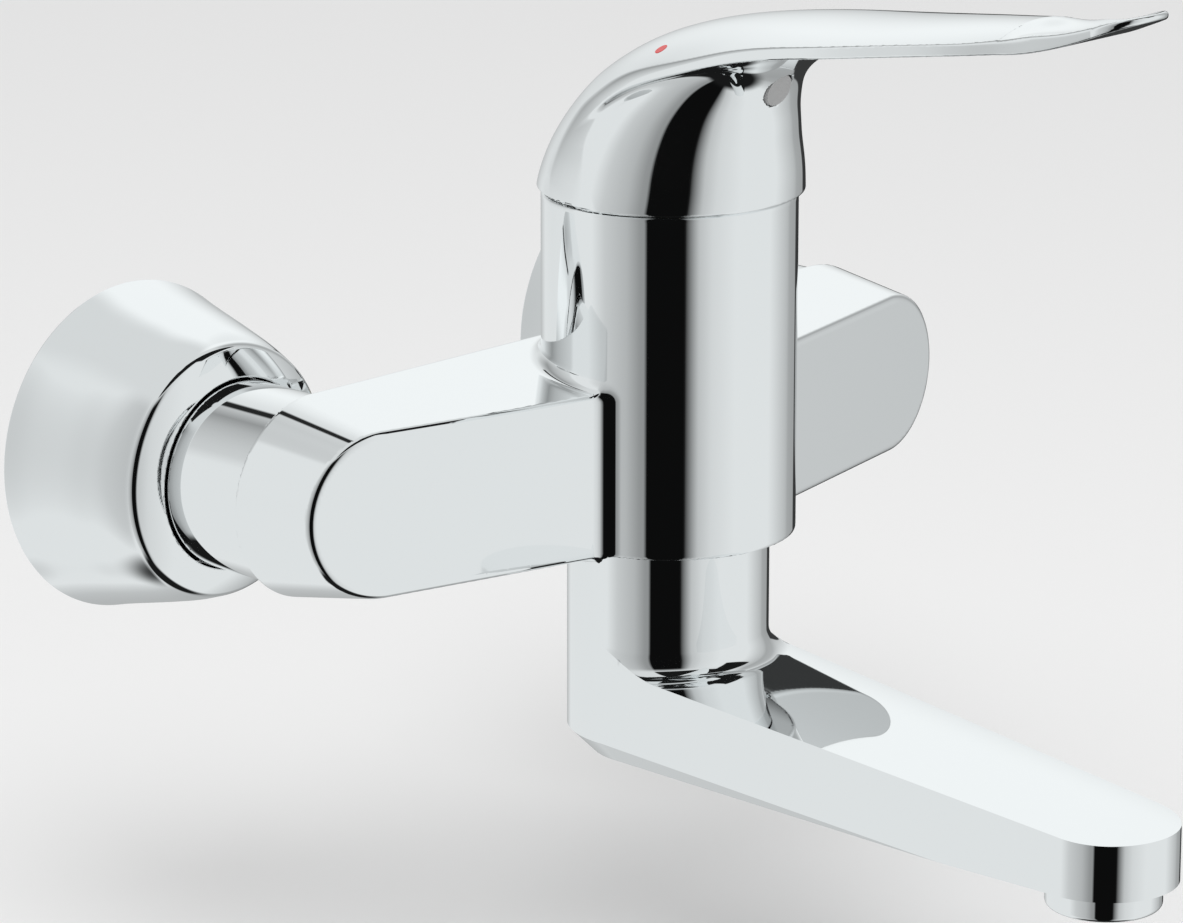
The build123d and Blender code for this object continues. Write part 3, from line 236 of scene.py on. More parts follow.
def net(shape, low, high, step):
    """Quads that cover the surface where shape is zero, with exact points and normals."""
    axes = [np.arange(a, b + step, step) for a, b in zip(low, high)]
    x, y, z = axes[0][:, None, None], axes[1][None, :, None], axes[2][None, None, :]
    value = np.asarray(shape(x, y, z), np.float32)
    inside = value < 0
    cells = tuple(n - 1 for n in value.shape)
    total, hits = np.zeros(cells + (3,), np.float32), np.zeros(cells, np.int8)

    def corner(a, array):
        """The values at one corner of every cell."""
        return array[a[0]:a[0] + cells[0], a[1]:a[1] + cells[1], a[2]:a[2] + cells[2]]

    # each cell's point is the mean of the crossings on its twelve edges
    for axis in range(3):
        for p in (0, 1):
            for q in (0, 1):
                a = [0, 0, 0]
                a[(axis + 1) % 3], a[(axis + 2) % 3] = p, q
                b = list(a)
                b[axis] = 1
                crossed = corner(a, inside) != corner(b, inside)
                va, vb = corner(a, value)[crossed], corner(b, value)[crossed]
                spot = np.tile(np.array(a, np.float32), (len(va), 1))
                spot[:, axis] = va / (va - vb)
                total[crossed] += spot
                hits[crossed] += 1
    used = hits > 0
    number = np.full(cells, -1, np.int64)
    number[used] = np.arange(used.sum())
    points = (np.argwhere(used) + total[used] / hits[used][:, None]) * step + [a[0] for a in axes]
    # each crossed edge gives a quad of the four cells around it
    faces = []
    for axis in range(3):
        o1, o2 = (axis + 1) % 3, (axis + 2) % 3
        first, second = [slice(1, -1)] * 3, [slice(1, -1)] * 3
        first[axis], second[axis] = slice(0, -1), slice(1, None)
        a, b = inside[tuple(first)], inside[tuple(second)]
        spots = np.argwhere(a != b)
        start = [1, 1, 1]
        start[axis] = 0
        spots = spots + start
        flip = a[a != b]
        quad = []
        for d1, d2 in ((-1, -1), (0, -1), (0, 0), (-1, 0)):
            cell = spots.copy()
            cell[:, o1] += d1
            cell[:, o2] += d2
            quad.append(number[cell[:, 0], cell[:, 1], cell[:, 2]])
        quad = np.stack(quad, 1)
        quad[~flip] = quad[~flip][:, ::-1]
        faces.append(quad)
    faces = np.concatenate(faces)
    # the points move onto the surface
    for turn in range(4):
        value, slope = steepest(shape, points)
        points = points - slope * (value / (slope ** 2).sum(1))[:, None]
    value, slope = steepest(shape, points)
    return points, faces, slope / np.linalg.norm(slope, axis=1)[:, None]


def steepest(shape, points, e=0.03):
    """The shape's value and slope at each point."""
    x, y, z = points.T
    slope = [(shape(x + dx, y + dy, z + dz) - shape(x - dx, y - dy, z - dz)) / (2 * e)
             for dx, dy, dz in ((e, 0, 0), (0, e, 0), (0, 0, e))]
    return shape(x, y, z), np.stack(slope, -1)


def smooth_solid(name, shape, low, high, step, rise=0.0):
    """A mesh of the solid where shape(across, forward, height) is below zero."""
    points, faces, normals = net(shape, low, high, step)
    spots, normals = place(points + (0, 0, rise)), normals * (1, -1, 1)
    corners = spots[faces]
    facing = np.cross(corners[:, 2] - corners[:, 0], corners[:, 3] - corners[:, 1])
    inward = (facing * normals[faces].sum(1)).sum(1) < 0
    faces[inward] = faces[inward][:, ::-1]
    mesh = bpy.data.meshes.new(name)
    mesh.from_pydata(spots, [], faces.tolist())
    mesh.polygons.foreach_set("use_smooth", np.ones(len(mesh.polygons), bool))
    mesh.normals_split_custom_set_from_vertices(normals)
    piece = bpy.data.objects.new(name, mesh)
    bpy.context.scene.collection.objects.link(piece)
    return piece


# Body: barrel, two arms and the hollow blends between them

def arm_share(x, forward):
    """How far back on an arm a point lies, from 0 on its front face to 1 on its back."""
    front = tan(ARM_SWEEP) * (ARM_FRONT_X - np.abs(x)) - ARM_FRONT_BACK
    return np.clip((front - forward) / (front + ARM_BACK), 0, 1)


def body_shape(x, f, z):
    """Below zero inside the body."""
    out = np.abs(x)
    # arms: a slot-shaped section that grows from the front face to the back
    share = arm_share(x, f)
    half = ARM_FRONT_HALF + (ARM_BACK_HALF - ARM_FRONT_HALF) * share
    middle, end = ARM_FRONT_RISE * (1 - share), ARM_FRONT_X + (INLET_X - ARM_FRONT_X) * share
    section = np.hypot(np.maximum(out - end, 0), z - middle) - half
    reach = ARM_FRONT_X * sin(ARM_SWEEP) - ARM_FRONT_BACK * cos(ARM_SWEEP)
    front = out * sin(ARM_SWEEP) + f * cos(ARM_SWEEP) - reach
    arms = rounded_cut(rounded_cut(section, front, ARM_EDGE), -ARM_BACK - f, ARM_BACK_EDGE)
    # barrel, a round bottom seat for the spout, and the chamber
    off = np.hypot(x, f)
    body = hollow_join(off - BODY_R, arms, BLEND_R)
    body = np.maximum(body, -np.maximum(off - BODY_R, z - BODY_LOW))
    below = np.where(off < BODY_R + BODY_SEAT_EDGE, BODY_LOW - z, WELL_INSIDE)
    body = rounded_cut(body, below, BODY_ROUND)
    body = rounded_cut(body, z - BODY_TOP, BODY_BEVEL)
    return rounded_cut(body, -np.maximum(off - CHAMBER_R, CHAMBER_FLOOR - z), CHAMBER_EDGE)


def make_body():
    return smooth_solid("body_shell", body_shape, *BODY_SPACE, BODY_NET)


# Spout: column, sloping arm and nose

def blend_lift(x, forward):
    """How far the hollow blend climbs up the column, above the nearly level face."""
    off = np.clip(np.hypot(x, forward) - COLUMN_R, 0, SPOUT_BLEND)
    return SPOUT_BLEND - np.sqrt(np.maximum(SPOUT_BLEND ** 2 - (SPOUT_BLEND - off) ** 2, 0))


def dense_start(count, power):
    """Shares from 0 to 1 that lie closer together near 0."""
    return np.linspace(0, 1, count) ** power


def spout_top(x, forward):
    """Rise of the spout's crowned upper face."""
    crown = SPOUT_CROWN_R - np.sqrt(SPOUT_CROWN_R ** 2 - np.asarray(x) ** 2)
    return SPOUT_CROWN_LINE - forward * tan(SPOUT_SLOPE) - crown / cos(SPOUT_SLOPE)


def flat_face(skin, loops):
    """Flat face with holes, the first loop outside."""
    points = np.concatenate(loops)
    for a, b, c in tessellate_polygon([[Vector(p) for p in loop] for loop in loops]):
        skin.faces.append((skin.count + a, skin.count + b, skin.count + c))
    skin.points.append(points)
    skin.count += len(points)


def make_spout():
    skin = Skin()
    spread = asin((COLUMN_R - NOSE_R) / REACH)
    # outline of the arm from the right tangent point round the nose to the left one
    root = np.array([COLUMN_R * cos(spread), COLUMN_R * sin(spread)])
    far = np.array([NOSE_R * cos(spread), REACH + NOSE_R * sin(spread)])
    wall = root + (far - root) * dense_start(ARM_POINTS, WALL_DENSITY)[:, None]
    nose = np.radians(np.linspace(degrees(spread), 180 - degrees(spread), NOSE_POINTS))
    nose = np.stack([NOSE_R * np.cos(nose), REACH + NOSE_R * np.sin(nose)], -1)
    edge = np.concatenate([wall, nose[1:-1], (wall * (-1, 1))[::-1]])
    step = np.concatenate([[0], np.cumsum(np.hypot(*np.diff(edge, axis=0).T))])
    share = step / step[-1]
    # matching points on the column, closer together at the tangent points
    turn = spread + (pi - 2 * spread) * (share - np.sin(2 * pi * share) / (4 * pi))
    arc_points = np.stack([COLUMN_R * np.cos(turn), COLUMN_R * np.sin(turn)], -1)
    u = dense_start(BLEND_ROWS, BLEND_DENSITY)[:, None, None]
    plan = arc_points[None] + (edge - arc_points)[None] * u
    rise = spout_top(plan[..., 0], plan[..., 1]) + blend_lift(plan[..., 0], plan[..., 1])
    top = np.concatenate([plan, rise[..., None]], -1)
    skin.patch(top)
    # side walls and nose, down to the keel
    inset = KEEL_INSET * np.clip((KEEL_FADE - edge[:, 1]) / (KEEL_FADE - root[1]), 0, 1)
    low = SPOUT_LOW + inset
    rows = [raised(edge, rise[-1] + (low - rise[-1]) * s) for s in np.linspace(0, 1, SIDE_ROWS)]
    skin.patch(rows)
    # column: back half down to the keel
    back = np.linspace(pi - spread, 2 * pi + spread, BACK_POINTS)
    back = np.stack([COLUMN_R * np.cos(back), COLUMN_R * np.sin(back)], -1)
    joint = rise[0]
    ring = np.concatenate([arc_points, back[1:-1]])
    head = np.concatenate([joint, np.full(len(back) - 2, joint[0])])
    rows = [raised(ring, COLUMN_TOP + (head - COLUMN_TOP) * s) for s in np.linspace(0, 1, COLUMN_ROWS)]
    skin.patch(rows, wrap=True)
    rows = [raised(back, joint[0] + (SPOUT_LOW + KEEL_INSET - joint[0]) * s)
            for s in np.linspace(0, 1, SIDE_ROWS)]
    skin.patch(rows)
    # keel: bevel around the underside, running out along the arm
    loop = np.concatenate([edge, back[1:-1]])
    depth = np.concatenate([inset, np.full(len(back) - 2, KEEL_INSET)])
    normal = np.roll(loop, -1, 0) - np.roll(loop, 1, 0)
    normal = np.stack([normal[:, 1], -normal[:, 0]], -1) / np.hypot(*normal.T)[:, None]
    inner = loop - normal * depth[:, None]
    low = SPOUT_LOW + depth
    skin.patch([raised(loop, low), raised(inner, SPOUT_LOW)], wrap=True)
    holes = [raised(arc(0, forward, radius, 0, 360, HOLE_SIDES + 1)[:-1], SPOUT_LOW)
             for radius, forward in ((PLUG_HOLE_R, 0), (AERATOR_HOLE_R, REACH))]
    flat_face(skin, [raised(inner, SPOUT_LOW)] + holes)
    aerator_hole = [(AERATOR_HOLE_R, SPOUT_LOW), (AERATOR_HOLE_R, AERATOR_ROOF)]
    turned(skin, aerator_hole, forward=REACH, count=HOLE_SIDES)
    # seat and bore for the swivel nipple
    inside = ((SEAT_R, COLUMN_TOP), (SEAT_R, SEAT_LOW), (BORE_R, SEAT_LOW), (BORE_R, BORE_LOW))
    rows = [raised(ring * radius / COLUMN_R, level) for radius, level in inside]
    skin.patch([raised(ring, COLUMN_TOP)] + rows, wrap=True)
    plug_hole = [(PLUG_HOLE_R, SPOUT_LOW), (PLUG_HOLE_R, BORE_LOW), (BORE_R - SPOUT_EDGE, BORE_LOW)]
    turned(skin, plug_hole, count=HOLE_SIDES)
    return skin.build("spout_shell", edge_round=SPOUT_EDGE)


# Escutcheons, covers and aerator ring: turned pieces

def make_escutcheon(side, name):
    """An almost straight bell, a rounded shoulder and a front that climbs gently to the bore."""
    bell = spline(BELL_DEPTHS, BELL_RADII)
    depths = np.linspace(0, BELL_DEPTHS[-1], BELL_ROWS)
    profile = [(bell(d), d) for d in depths]
    shoulder = arc(SHOULDER_R, SHOULDER_OFF, SHOULDER_ROUND, SHOULDER_FROM, SHOULDER_TO, COLLAR_ROWS)
    profile += [tuple(p) for p in shoulder]
    radius, depth = shoulder[-1]
    for inward in np.linspace(0, radius - COLLAR_BORE, COLLAR_ROWS)[1:]:
        profile.append((radius - inward, depth + COLLAR_SLOPE * inward - COLLAR_CROWN * inward ** 2))
    profile += [(COLLAR_BORE, SHOULDER_OFF - SHEET)]
    profile += [(bell(d) - SHEET, d) for d in depths[::-1]]
    skin = Skin()
    turned(skin, profile + profile[:1], across=side * INLET_X, count=BELL_SIDES, along_y=True)
    return skin.build(name, edge_round=ESCUTCHEON_EDGE)


def make_cover(side, name):
    inner_r, inner_end = COVER_R - SHEET, COVER_FAR - COVER_FLOOR
    profile = [(inner_r, COVER_NEAR), (COVER_R, COVER_NEAR), (COVER_R, COVER_FAR), (TAIL_R, COVER_FAR),
               (TAIL_R, inner_end), (inner_r, inner_end), (inner_r, COVER_NEAR)]
    skin = Skin()
    turned(skin, profile, across=side * INLET_X, count=COVER_SIDES, along_y=True)
    return skin.build(name, edge_round=COVER_EDGE)


def make_aerator():
    lip = AERATOR_LOW + AERATOR_LIP
    low = arc(AERATOR_R - AERATOR_ROUND, AERATOR_LOW + AERATOR_ROUND, AERATOR_ROUND, -90, 0, LIP_POINTS)
    profile = [(AERATOR_BORE, lip), (AERATOR_MOUTH, lip), (AERATOR_MOUTH, AERATOR_LOW)]
    profile += [tuple(p) for p in low]
    profile += [(AERATOR_R, AERATOR_HIGH), (AERATOR_THREAD, AERATOR_HIGH), (AERATOR_THREAD, AERATOR_TOP),
                (AERATOR_BORE, AERATOR_TOP), (AERATOR_BORE, lip)]
    skin = Skin()
    turned(skin, profile, forward=REACH, count=AERATOR_SIDES)
    return skin.build("aerator_ring", edge_round=AERATOR_EDGE)


# Lever: an upright hollow dome and a long flat blade, as one smooth solid

def along_ridge():
    """The lever's top line in its middle plane, by its length: forward and height above the rim."""
    f, h = np.array(RIDGE).T
    length = np.concatenate([[0], np.cumsum(np.hypot(np.diff(f), np.diff(h)))])
    return length, spline(length, f), spline(length, h)


# the top line, and the radius of the round upper face by the length along that line
RIDGE = ((-28.0, -6.0), (-28.0, -2.5), (-27.7, 0.5), (-26.3, 5.3), (-24.8, 8.5), (-22.9, 11.9), (-20.7, 15.1),
         (-17.9, 18.6), (-14.6, 22.1), (-10.5, 25.7), (-7.3, 27.9), (-0.3, 31.9), (9.5, 35.9), (21.6, 39.2),
         (39.6, 42.2), (56.6, 44.1), (74.5, 46.3), (87.5, 48.0), (98.0, 49.4), (101.0, 49.9), (106.0, 51.2),
         (114.0, 54.5), (127.0, 60.5))
NEAR = 0.05
LENGTH, RIDGE_F, RIDGE_H = along_ridge()
CROWN_R = spline((0, 6.6, 20, 33, 45, 57, 68, 80, 95, 115, 135, 148, 170),
                 (27, 27.1, 28.6, 30, 33.2, 37.8, 39.3, 45.4, 60.9, 63.2, 48.9, 36, 34))
# half width and front of the dome by height, and half width of the blade by forward place
HALF = spline((0, 4.76, 8.24, 11.73, 15.2, 18.7, 22.2, 25.7, 29.0, 33.0, 40.0),
              (28, 27.2, 26.5, 25.5, 24.4, 23.0, 21.3, 19.3, 17.95, 17.9, 17.9))
FRONT = spline((0, 4.76, 8.24, 11.73, 15.2, 18.7, 22.2, 25.7, 27.9, 30.25, 33.25, 35.5, 37.5),
               (28, 28.1, 27.9, 27.7, 27.8, 28.1, 29.0, 30.6, 32.4, 35.2, 40.4, 46.5, 56))
BLADE_HALF = spline((-30, -10, 0, 10, 22, 34, 46, 57, 75, 92, BLADE_BEND, 108, 118),
                    (23.4, 23.2, 23.0, 22.7, 22.4, 22.2, 21.9, 21.0, 18.4, 15.2, 13.4, 11.3, TIP_R))
# edge of the cap's upper face, by forward place, and the hollow curl beyond the bend
CAP_EDGE = spline((-13.4, -10.1, -5.6, -0.1, 6.7, 14.6, 23.1, 31.8, 40.7, 49.8, 59.1, 77.5, 98.6),
                  (3.6, 10.0, 15.8, 21.2, 26.2, 29.8, 32.7, 35.4, 37.7, 39.4, 40.8, 43.5, 46.4))
CURL = spline((95.0, 98.6, 103.0, 108.0, 113.0, 120.0, 127.0, 133.0),
              (49.4, 49.45, 48.5, 48.2, 49.1, 51.6, 54.5, 57.0))
CURL_CROWN = spline((95, 98.6, 104, 110, 120, 130), (0.015, 0.015, 0.0, -0.010, -0.014, -0.012))
CURL_LOW = spline((95, 98.6, 103, 108, 113, 120, 127, 133), (44.0, 44.1, 44.7, 45.9, 47.5, 50.3, 53.0, 55.0))
# rounding of the upper face's edge, by the length along the top line
EDGE = spline((0, 20, 36, 50, 60, 72, 90, 145, 155, 180), (0.5, 2.2, 2.4, 2.0, 1.3, 0.8, 0.6, 0.5, 0.9, 1.0))

# nearest place on the top line for each whole millimetre, to start the search from
SAMPLES = np.linspace(0, LENGTH[-1], 340)
SEED_F, SEED_H = np.arange(-36.0, 140.0), np.arange(-8.0, 70.0)
SEEDS = SAMPLES[np.argmin((SEED_F[:, None, None] - RIDGE_F(SAMPLES)) ** 2
                          + (SEED_H[:, None] - RIDGE_H(SAMPLES)) ** 2, axis=-1)]


def ridge_distance(f, h):
    """Distance outside the top line, and the length along it of the nearest point."""
    f, h = np.broadcast_arrays(f, h)
    length = SEEDS[np.clip(np.rint(f - SEED_F[0]).astype(int), 0, len(SEED_F) - 1),
                   np.clip(np.rint(h - SEED_H[0]).astype(int), 0, len(SEED_H) - 1)]
    for turn in range(5):
        across_f = (RIDGE_F(length + NEAR) - RIDGE_F(length - NEAR)) / (2 * NEAR)
        across_h = (RIDGE_H(length + NEAR) - RIDGE_H(length - NEAR)) / (2 * NEAR)
        off_f, off_h = f - RIDGE_F(length), h - RIDGE_H(length)
        if turn < 4:
            length = np.clip(length + off_f * across_f + off_h * across_h, 0, LENGTH[-1])
    return (off_h * across_f - off_f * across_h) / np.hypot(across_f, across_h), length


def lever_outside(x, f, h):
    """Below zero inside the lever's outer form."""
    off, length = ridge_distance(f, h)
    crown = CROWN_R(length)
    top = np.hypot(x, crown + off) - crown
    # beyond the bend the top curls up, and its crown turns into a scoop
    curl = (h - CURL(f) + x * x * CURL_CROWN(f)) * CURL_SHARE
    top = rounded_cut(top, np.minimum(f - BLADE_BEND, curl), BEND_EDGE)
    # neck and skirt
    half, front = HALF(np.clip(h, -3, 40)), FRONT(np.minimum(h, NECK_TOP))
    middle = front - half
    walls = np.where(f > middle, np.hypot(x, f - middle), np.abs(x)) - half
    walls = np.maximum(walls, (h - NECK_TOP) * NECK_SHARE)
    # cap and blade, flat below
    end = BLADE_TIP - TIP_R
    side = np.abs(x) - BLADE_HALF(np.minimum(f, end))
    tip = np.hypot(x, f - end) - TIP_R
    outline = np.where(f > end, np.maximum(side, tip), side)
    under = (np.where(f < BLADE_BEND, CAP_EDGE(f) - BLADE_THICK, CURL_LOW(f)) - h) * UNDER_SHARE
    blade = rounded_cut(outline, under, BLADE_EDGE)
    whole = soft_join(walls, blade, NECK_BLEND)
    return rounded_cut(rounded_cut(top, whole, EDGE(length)), -h, RIM_EDGE)


def body_room(x, f, h):
    """Room inside the skirt for the body's top, at each step of the lift."""
    room, level = FAR_OUTSIDE, h + RIM - PIVOT_RISE
    for lift in LIFT_STEPS:
        across, rise = f * cos(lift) - level * sin(lift), f * sin(lift) + level * cos(lift)
        body = np.maximum(np.hypot(x, across) - BODY_R, rise - (BODY_TOP - PIVOT_RISE))
        room = np.minimum(room, body - LIFT_PLAY)
    return room


def lever_hollow(x, f, h):
    """Below zero in the room under the dome."""
    level = np.clip(h, 0, HOLLOW_LIMIT)
    half, front = HALF(level) - LEVER_WALL, FRONT(level) - LEVER_WALL
    half = np.where(h < RIM_LAND, RIM_INNER, half)
    middle = front - half
    hollow = np.maximum(np.hypot(x, f - middle) - half, h - HOLLOW_TOP)
    return np.minimum(hollow, body_room(x, f, h))


def lever_shape(x, f, h):
    seat = np.maximum(np.hypot(x, h - PLUG_RISE) - PLUG_SEAT_R, PLUG_SEAT_BACK - f)
    hollow = np.minimum(lever_hollow(x, f, h), seat)
    return rounded_cut(lever_outside(x, f, h), -hollow, PLUG_EDGE)


def make_lever():
    step = LEVER_NET
    return smooth_solid("lever", lever_shape, *LEVER_SPACE, step, RIM)


# Materials

# the part of a noise texture's range that holds nearly all of its values
NOISE_LOW, NOISE_HIGH = 0.3, 0.7


def base_material(name, colour, metallic, roughness):
    material = bpy.data.materials.new(name)
    material.use_nodes = True
    shader = material.node_tree.nodes["Principled BSDF"]
    shader.inputs["Base Color"].default_value = (*colour, 1)
    shader.inputs["Metallic"].default_value = metallic
    shader.inputs["Roughness"].default_value = roughness
    return material, material.node_tree, shader


def link(tree, a, out, b, into):
    tree.links.new(a.outputs[out], b.inputs[into])


def noise(tree, scale, detail=2.0):
    where = tree.nodes.new("ShaderNodeTexCoord")
    texture = tree.nodes.new("ShaderNodeTexNoise")
    texture.inputs["Scale"].default_value = scale
    texture.inputs["Detail"].default_value = detail
    link(tree, where, "Object", texture, "Vector")
    return texture


def vary(tree, source, low, high, shader, into):
    """Spreads a texture's value between two values of a shader's input."""
    ramp = tree.nodes.new("ShaderNodeMapRange")
    ramp.inputs["From Min"].default_value = NOISE_LOW
    ramp.inputs["From Max"].default_value = NOISE_HIGH
    ramp.inputs["To Min"].default_value = low
    ramp.inputs["To Max"].default_value = high
    link(tree, source, "Fac", ramp, "Value")
    link(tree, ramp, "Result", shader, into)


def bump(tree, source, strength, distance, shader):
    node = tree.nodes.new("ShaderNodeBump")
    node.inputs["Strength"].default_value = strength
    node.inputs["Distance"].default_value = distance
    link(tree, source, "Fac", node, "Height")
    link(tree, node, "Normal", shader, "Normal")


def chrome():
    """Mirror-bright plate with a faint haze that varies over the surface."""
    material, tree, shader = base_material("polished_chrome", (0.93, 0.945, 0.95), 1.0, 0.03)
    vary(tree, noise(tree, 45), 0.015, 0.04, shader, "Roughness")
    return material


def simple(name, colour, metallic, low, high, scale, grain=0.0, depth=0.0):
    """One colour with a roughness that varies from low to high, and a fine grain."""
    material, tree, shader = base_material(name, colour, metallic, low)
    vary(tree, noise(tree, scale, 4.0), low, high, shader, "Roughness")
    if grain:
        bump(tree, noise(tree, scale * 6, 3.0), grain, depth, shader)
    return material


FINISH = {
    "polished_chrome": chrome(),
    "turned_brass": simple("turned_brass", (0.72, 0.52, 0.22), 1.0, 0.18, 0.32, 300, 0.2, 0.00005),
    "steel": simple("steel", (0.56, 0.57, 0.58), 1.0, 0.2, 0.35, 400, 0.2, 0.00004),
    "seal_rubber": simple("seal_rubber", (0.012, 0.012, 0.012), 0.0, 0.55, 0.75, 500, 0.3, 0.00008),
    "dark_plastic": simple("dark_plastic", (0.02, 0.022, 0.026), 0.0, 0.35, 0.5, 600, 0.3, 0.00006),
    "white_plastic": simple("white_plastic", (0.72, 0.72, 0.69), 0.0, 0.3, 0.45, 600, 0.2, 0.00004),
    "ceramic": simple("ceramic", (0.8, 0.78, 0.72), 0.0, 0.12, 0.2, 300),
    "grey_plastic": simple("grey_plastic", (0.42, 0.42, 0.42), 0.0, 0.38, 0.5, 900, 0.3, 0.00004),
    "red_mark": simple("red_mark", (0.62, 0.03, 0.03), 0.0, 0.15, 0.25, 500),
    "blue_mark": simple("blue_mark", (0.02, 0.07, 0.5), 0.0, 0.15, 0.25, 500),
}
for part in frame["record"]["subparts"]:
    node = frame["nodes"][part["node"]]
    node.data.materials.clear()
    node.data.materials.append(FINISH[part["material_slot"]])


# The pieces

def chrome_piece(piece, body, *nodes):
    """Gives a piece its finish and its body, in place of CAD nodes."""
    slot = "polished_chrome"
    piece.data.materials.append(FINISH[slot])
    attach(piece, body)
    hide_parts(*nodes)


chrome_piece(make_body(), "tap", "mixer_body")
chrome_piece(make_spout(), "spout", "spout_body")
for side, hand in ((-1, "left"), (1, "right")):
    chrome_piece(make_escutcheon(side, "wall_flange_" + hand), "tap", "escutcheon_" + hand)
    chrome_piece(make_cover(side, "cover_" + hand), "tap", "nut_cover_" + hand)
chrome_piece(make_aerator(), "spout", "aerator_housing")
chrome_piece(make_lever(), "lift", "lever_handle")


# Camera, floor and light

LENS, CAMERA_FAR = 179.58, 20
CAMERA_AT = Vector((-859.28, -899.15, 343.76)) * MM
FLOOR, FLOOR_HALF = -0.11, 9.0

camera = bpy.data.objects.new("camera", bpy.data.cameras.new("camera"))
bpy.context.scene.collection.objects.link(camera)
camera.data.sensor_width = 36
camera.data.lens = LENS
camera.data.clip_end = CAMERA_FAR
right = Vector((0.698142, -0.715959, 0.000623))
back = Vector((-0.688836, -0.671457, 0.273221))
up = back.cross(right).normalized()
right = up.cross(back).normalized()
turned_to = Matrix((right, up, back)).transposed().to_4x4()
camera.matrix_world = Matrix.Translation(CAMERA_AT) @ turned_to
bpy.context.scene.camera = camera

mesh = bpy.data.meshes.new("floor")
corners = [(FLOOR_HALF * x, FLOOR_HALF * y, FLOOR) for x, y in ((-1, -1), (1, -1), (1, 1), (-1, 1))]
mesh.from_pydata(corners, [], [(0, 1, 2, 3)])
floor = bpy.data.objects.new("floor", mesh)
bpy.context.scene.collection.objects.link(floor)
material, tree, shader = base_material("floor", (0.84, 0.84, 0.84), 0.0, 0.9)
floor.data.materials.append(material)
floor.visible_glossy = False


def area_lamp(name, place_at, aim, width, power):
    lamp = bpy.data.objects.new(name, bpy.data.lights.new(name, "AREA"))
    lamp.data.shape = "DISK"
    lamp.data.size = width
    lamp.data.energy = power
    lamp.location = place_at
    lamp.rotation_euler = (Vector(aim) - Vector(place_at)).to_track_quat("-Z", "Y").to_euler()
    lamp.visible_glossy = False
    bpy.context.scene.collection.objects.link(lamp)


area_lamp("key", place_at=(-0.9, -0.9, 1.6), aim=(0, -0.1, 0), width=1.2, power=18)


class Math:
    """Arithmetic on values of a node tree."""

    def __init__(self, tree):
        self.tree = tree

    def __call__(self, kind, *values):
        node = self.tree.nodes.new("ShaderNodeMath")
        node.operation = kind
        for socket, value in zip(node.inputs, values):
            if isinstance(value, (int, float)):
                socket.default_value = value
            else:
                self.tree.links.new(value, socket)
        return node.outputs[0]

    def edge(self, value, start, end):
        """Climbs smoothly from 0 at start to 1 at end."""
        node = self.tree.nodes.new("ShaderNodeMapRange")
        node.interpolation_type = "SMOOTHSTEP"
        node.inputs["From Min"].default_value = start
        node.inputs["From Max"].default_value = end
        self.tree.links.new(value, node.inputs["Value"])
        return node.outputs["Result"]

    def window(self, value, start, end, soft):
        """One between start and end, nothing outside."""
        return self("SUBTRACT", self.edge(value, start - soft, start + soft),
                    self.edge(value, end - soft, end + soft))

    def towards(self, value, level, share):
        """Moves a value towards a level by a share."""
        gap = self("SUBTRACT", level, value)
        return self("MULTIPLY_ADD", gap, share, value)

    def ramp(self, turn, stops):
        """Light by turn, through the (angle, light) stops."""
        node = self.tree.nodes.new("ShaderNodeValToRGB")
        marks = node.color_ramp.elements
        marks.remove(marks[-1])
        for k, (angle, level) in enumerate(stops):
            mark = marks[0] if k == 0 else marks.new(angle / 360)
            mark.position = angle / 360
            mark.color = (level, level, level, 1)
        self.tree.links.new(self("DIVIDE", turn, 360.0), node.inputs[0])
        return node.outputs["Color"]


# The walls of the studio by their direction, in degrees from the tap's right, counterclockwise
# from above, each with its light. A dark gap stands to the front left, as beside a camera.
SHARED_WALLS = ((131, 0.80), (150, 0.80), (164, 0.61), (185, 0.48), (197, 0.31), (202, 0.29),
                (203, 0.004), (237.5, 0.004), (240, 0.12), (250, 0.55), (262, 0.70), (285, 0.80),
                (325, 0.80), (342, 0.62), (355, 0.50), (360, 0.40))
LOW_WALLS = ((0, 0.40), (12, 0.36), (43, 0.42), (60, 0.55), (76, 0.80)) + SHARED_WALLS
HIGH_WALLS = ((0, 0.40), (12, 0.45), (24, 0.74), (34, 0.96), (50, 0.96), (64, 0.82), (70, 0.78),
              (79, 0.58), (93, 0.32), (105, 0.47), (127, 0.65)) + SHARED_WALLS
# The walls change from the low to the high row between two heights, in degrees, and end below a
# plain ceiling and above a dark floor.
WALLS_CHANGE, CEILING_FROM, DARK_FLOOR_TO = (-20.0, 22.0), (48.0, 62.0), (-70.0, -58.0)
CEILING, DARK_FLOOR = 0.72, 0.01
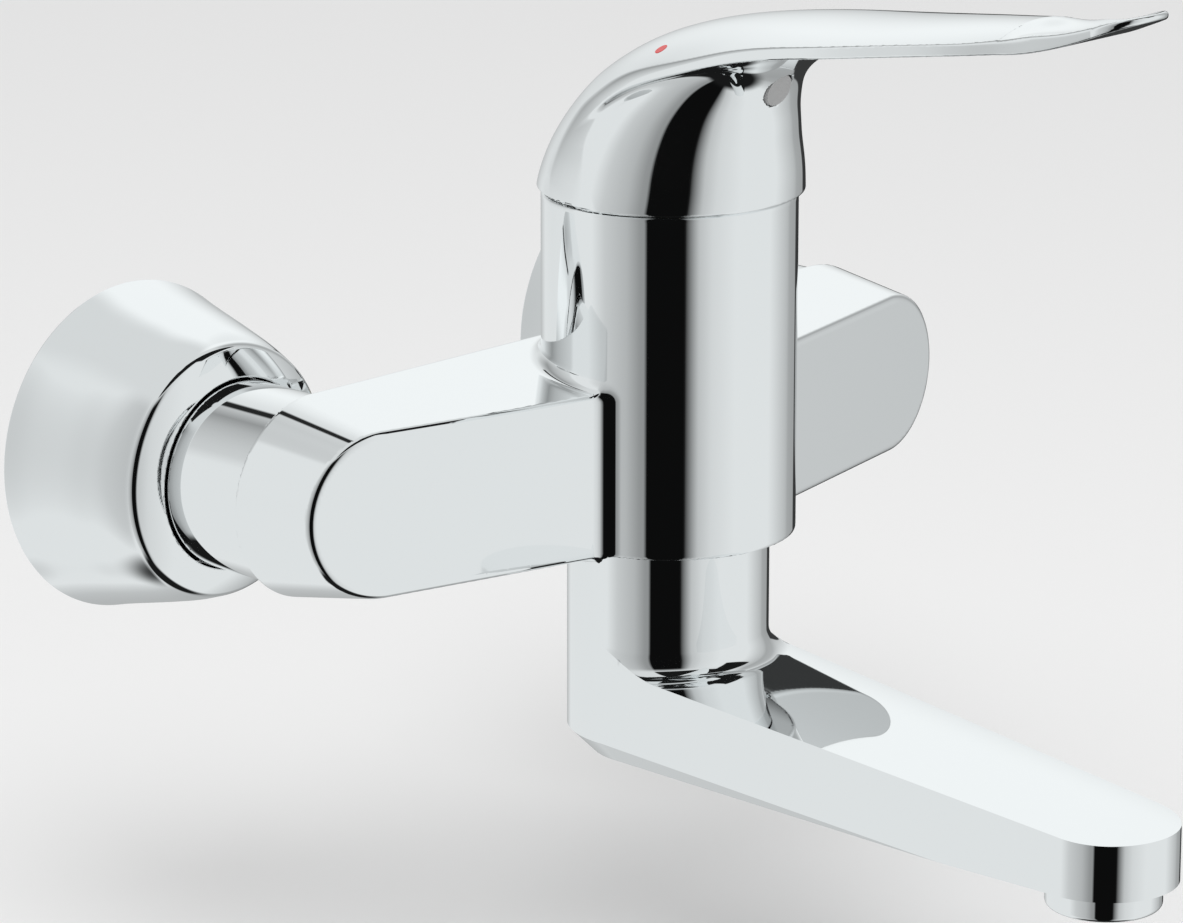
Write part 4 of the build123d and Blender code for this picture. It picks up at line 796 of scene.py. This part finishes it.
# Small dark places: turn from and to, height from and to, and light
DARK_PLACES = ((300, 345, 42, 62, 0.01), (200, 345, 60, 86, 0.01), (71.5, 79, 34, 60, 0.02),
               (17, 42, -36, -5, 0.04))
TURN_SOFT, HEIGHT_SOFT = 1.5, 1.0
REFLECTED_TINT, PLAIN_TINT = (0.965, 0.995, 1.0, 1), (0.8, 0.8, 0.8, 1)


def studio():
    """A pale tent that the chrome reflects. Everything else sees a plain pale background."""
    world = bpy.data.worlds.new("studio")
    bpy.context.scene.world = world
    world.use_nodes = True
    tree = world.node_tree
    tree.nodes.clear()
    math = Math(tree)
    where = tree.nodes.new("ShaderNodeTexCoord")
    parts = tree.nodes.new("ShaderNodeSeparateXYZ")
    link(tree, where, "Generated", parts, "Vector")
    turn = math("DIVIDE", math("ARCTAN2", parts.outputs["Y"], parts.outputs["X"]), 2 * pi)
    turn = math("MULTIPLY", math("FRACT", math("ADD", turn, 1.0)), 360.0)
    height = math("MULTIPLY", math("ARCSINE", parts.outputs["Z"]), 180 / pi)
    low, high = math.ramp(turn, LOW_WALLS), math.ramp(turn, HIGH_WALLS)
    light = math.towards(low, high, math.edge(height, *WALLS_CHANGE))
    light = math.towards(light, CEILING, math.edge(height, *CEILING_FROM))
    light = math.towards(DARK_FLOOR, light, math.edge(height, *DARK_FLOOR_TO))
    for start, end, bottom, top, level in DARK_PLACES:
        share = math("MULTIPLY", math.window(turn, start, end, TURN_SOFT),
                     math.window(height, bottom, top, HEIGHT_SOFT))
        light = math.towards(light, level, share)
    shown = tree.nodes.new("ShaderNodeBackground")
    shown.inputs["Color"].default_value = REFLECTED_TINT
    tree.links.new(light, shown.inputs["Strength"])
    plain = tree.nodes.new("ShaderNodeBackground")
    plain.inputs["Color"].default_value = PLAIN_TINT
    path = tree.nodes.new("ShaderNodeLightPath")
    mix = tree.nodes.new("ShaderNodeMixShader")
    out = tree.nodes.new("ShaderNodeOutputWorld")
    link(tree, path, "Is Glossy Ray", mix, "Fac")
    link(tree, plain, "Background", mix, 1)
    link(tree, shown, "Background", mix, 2)
    link(tree, mix, "Shader", out, "Surface")


studio()
bpy.context.scene.view_settings.view_transform = "Standard"
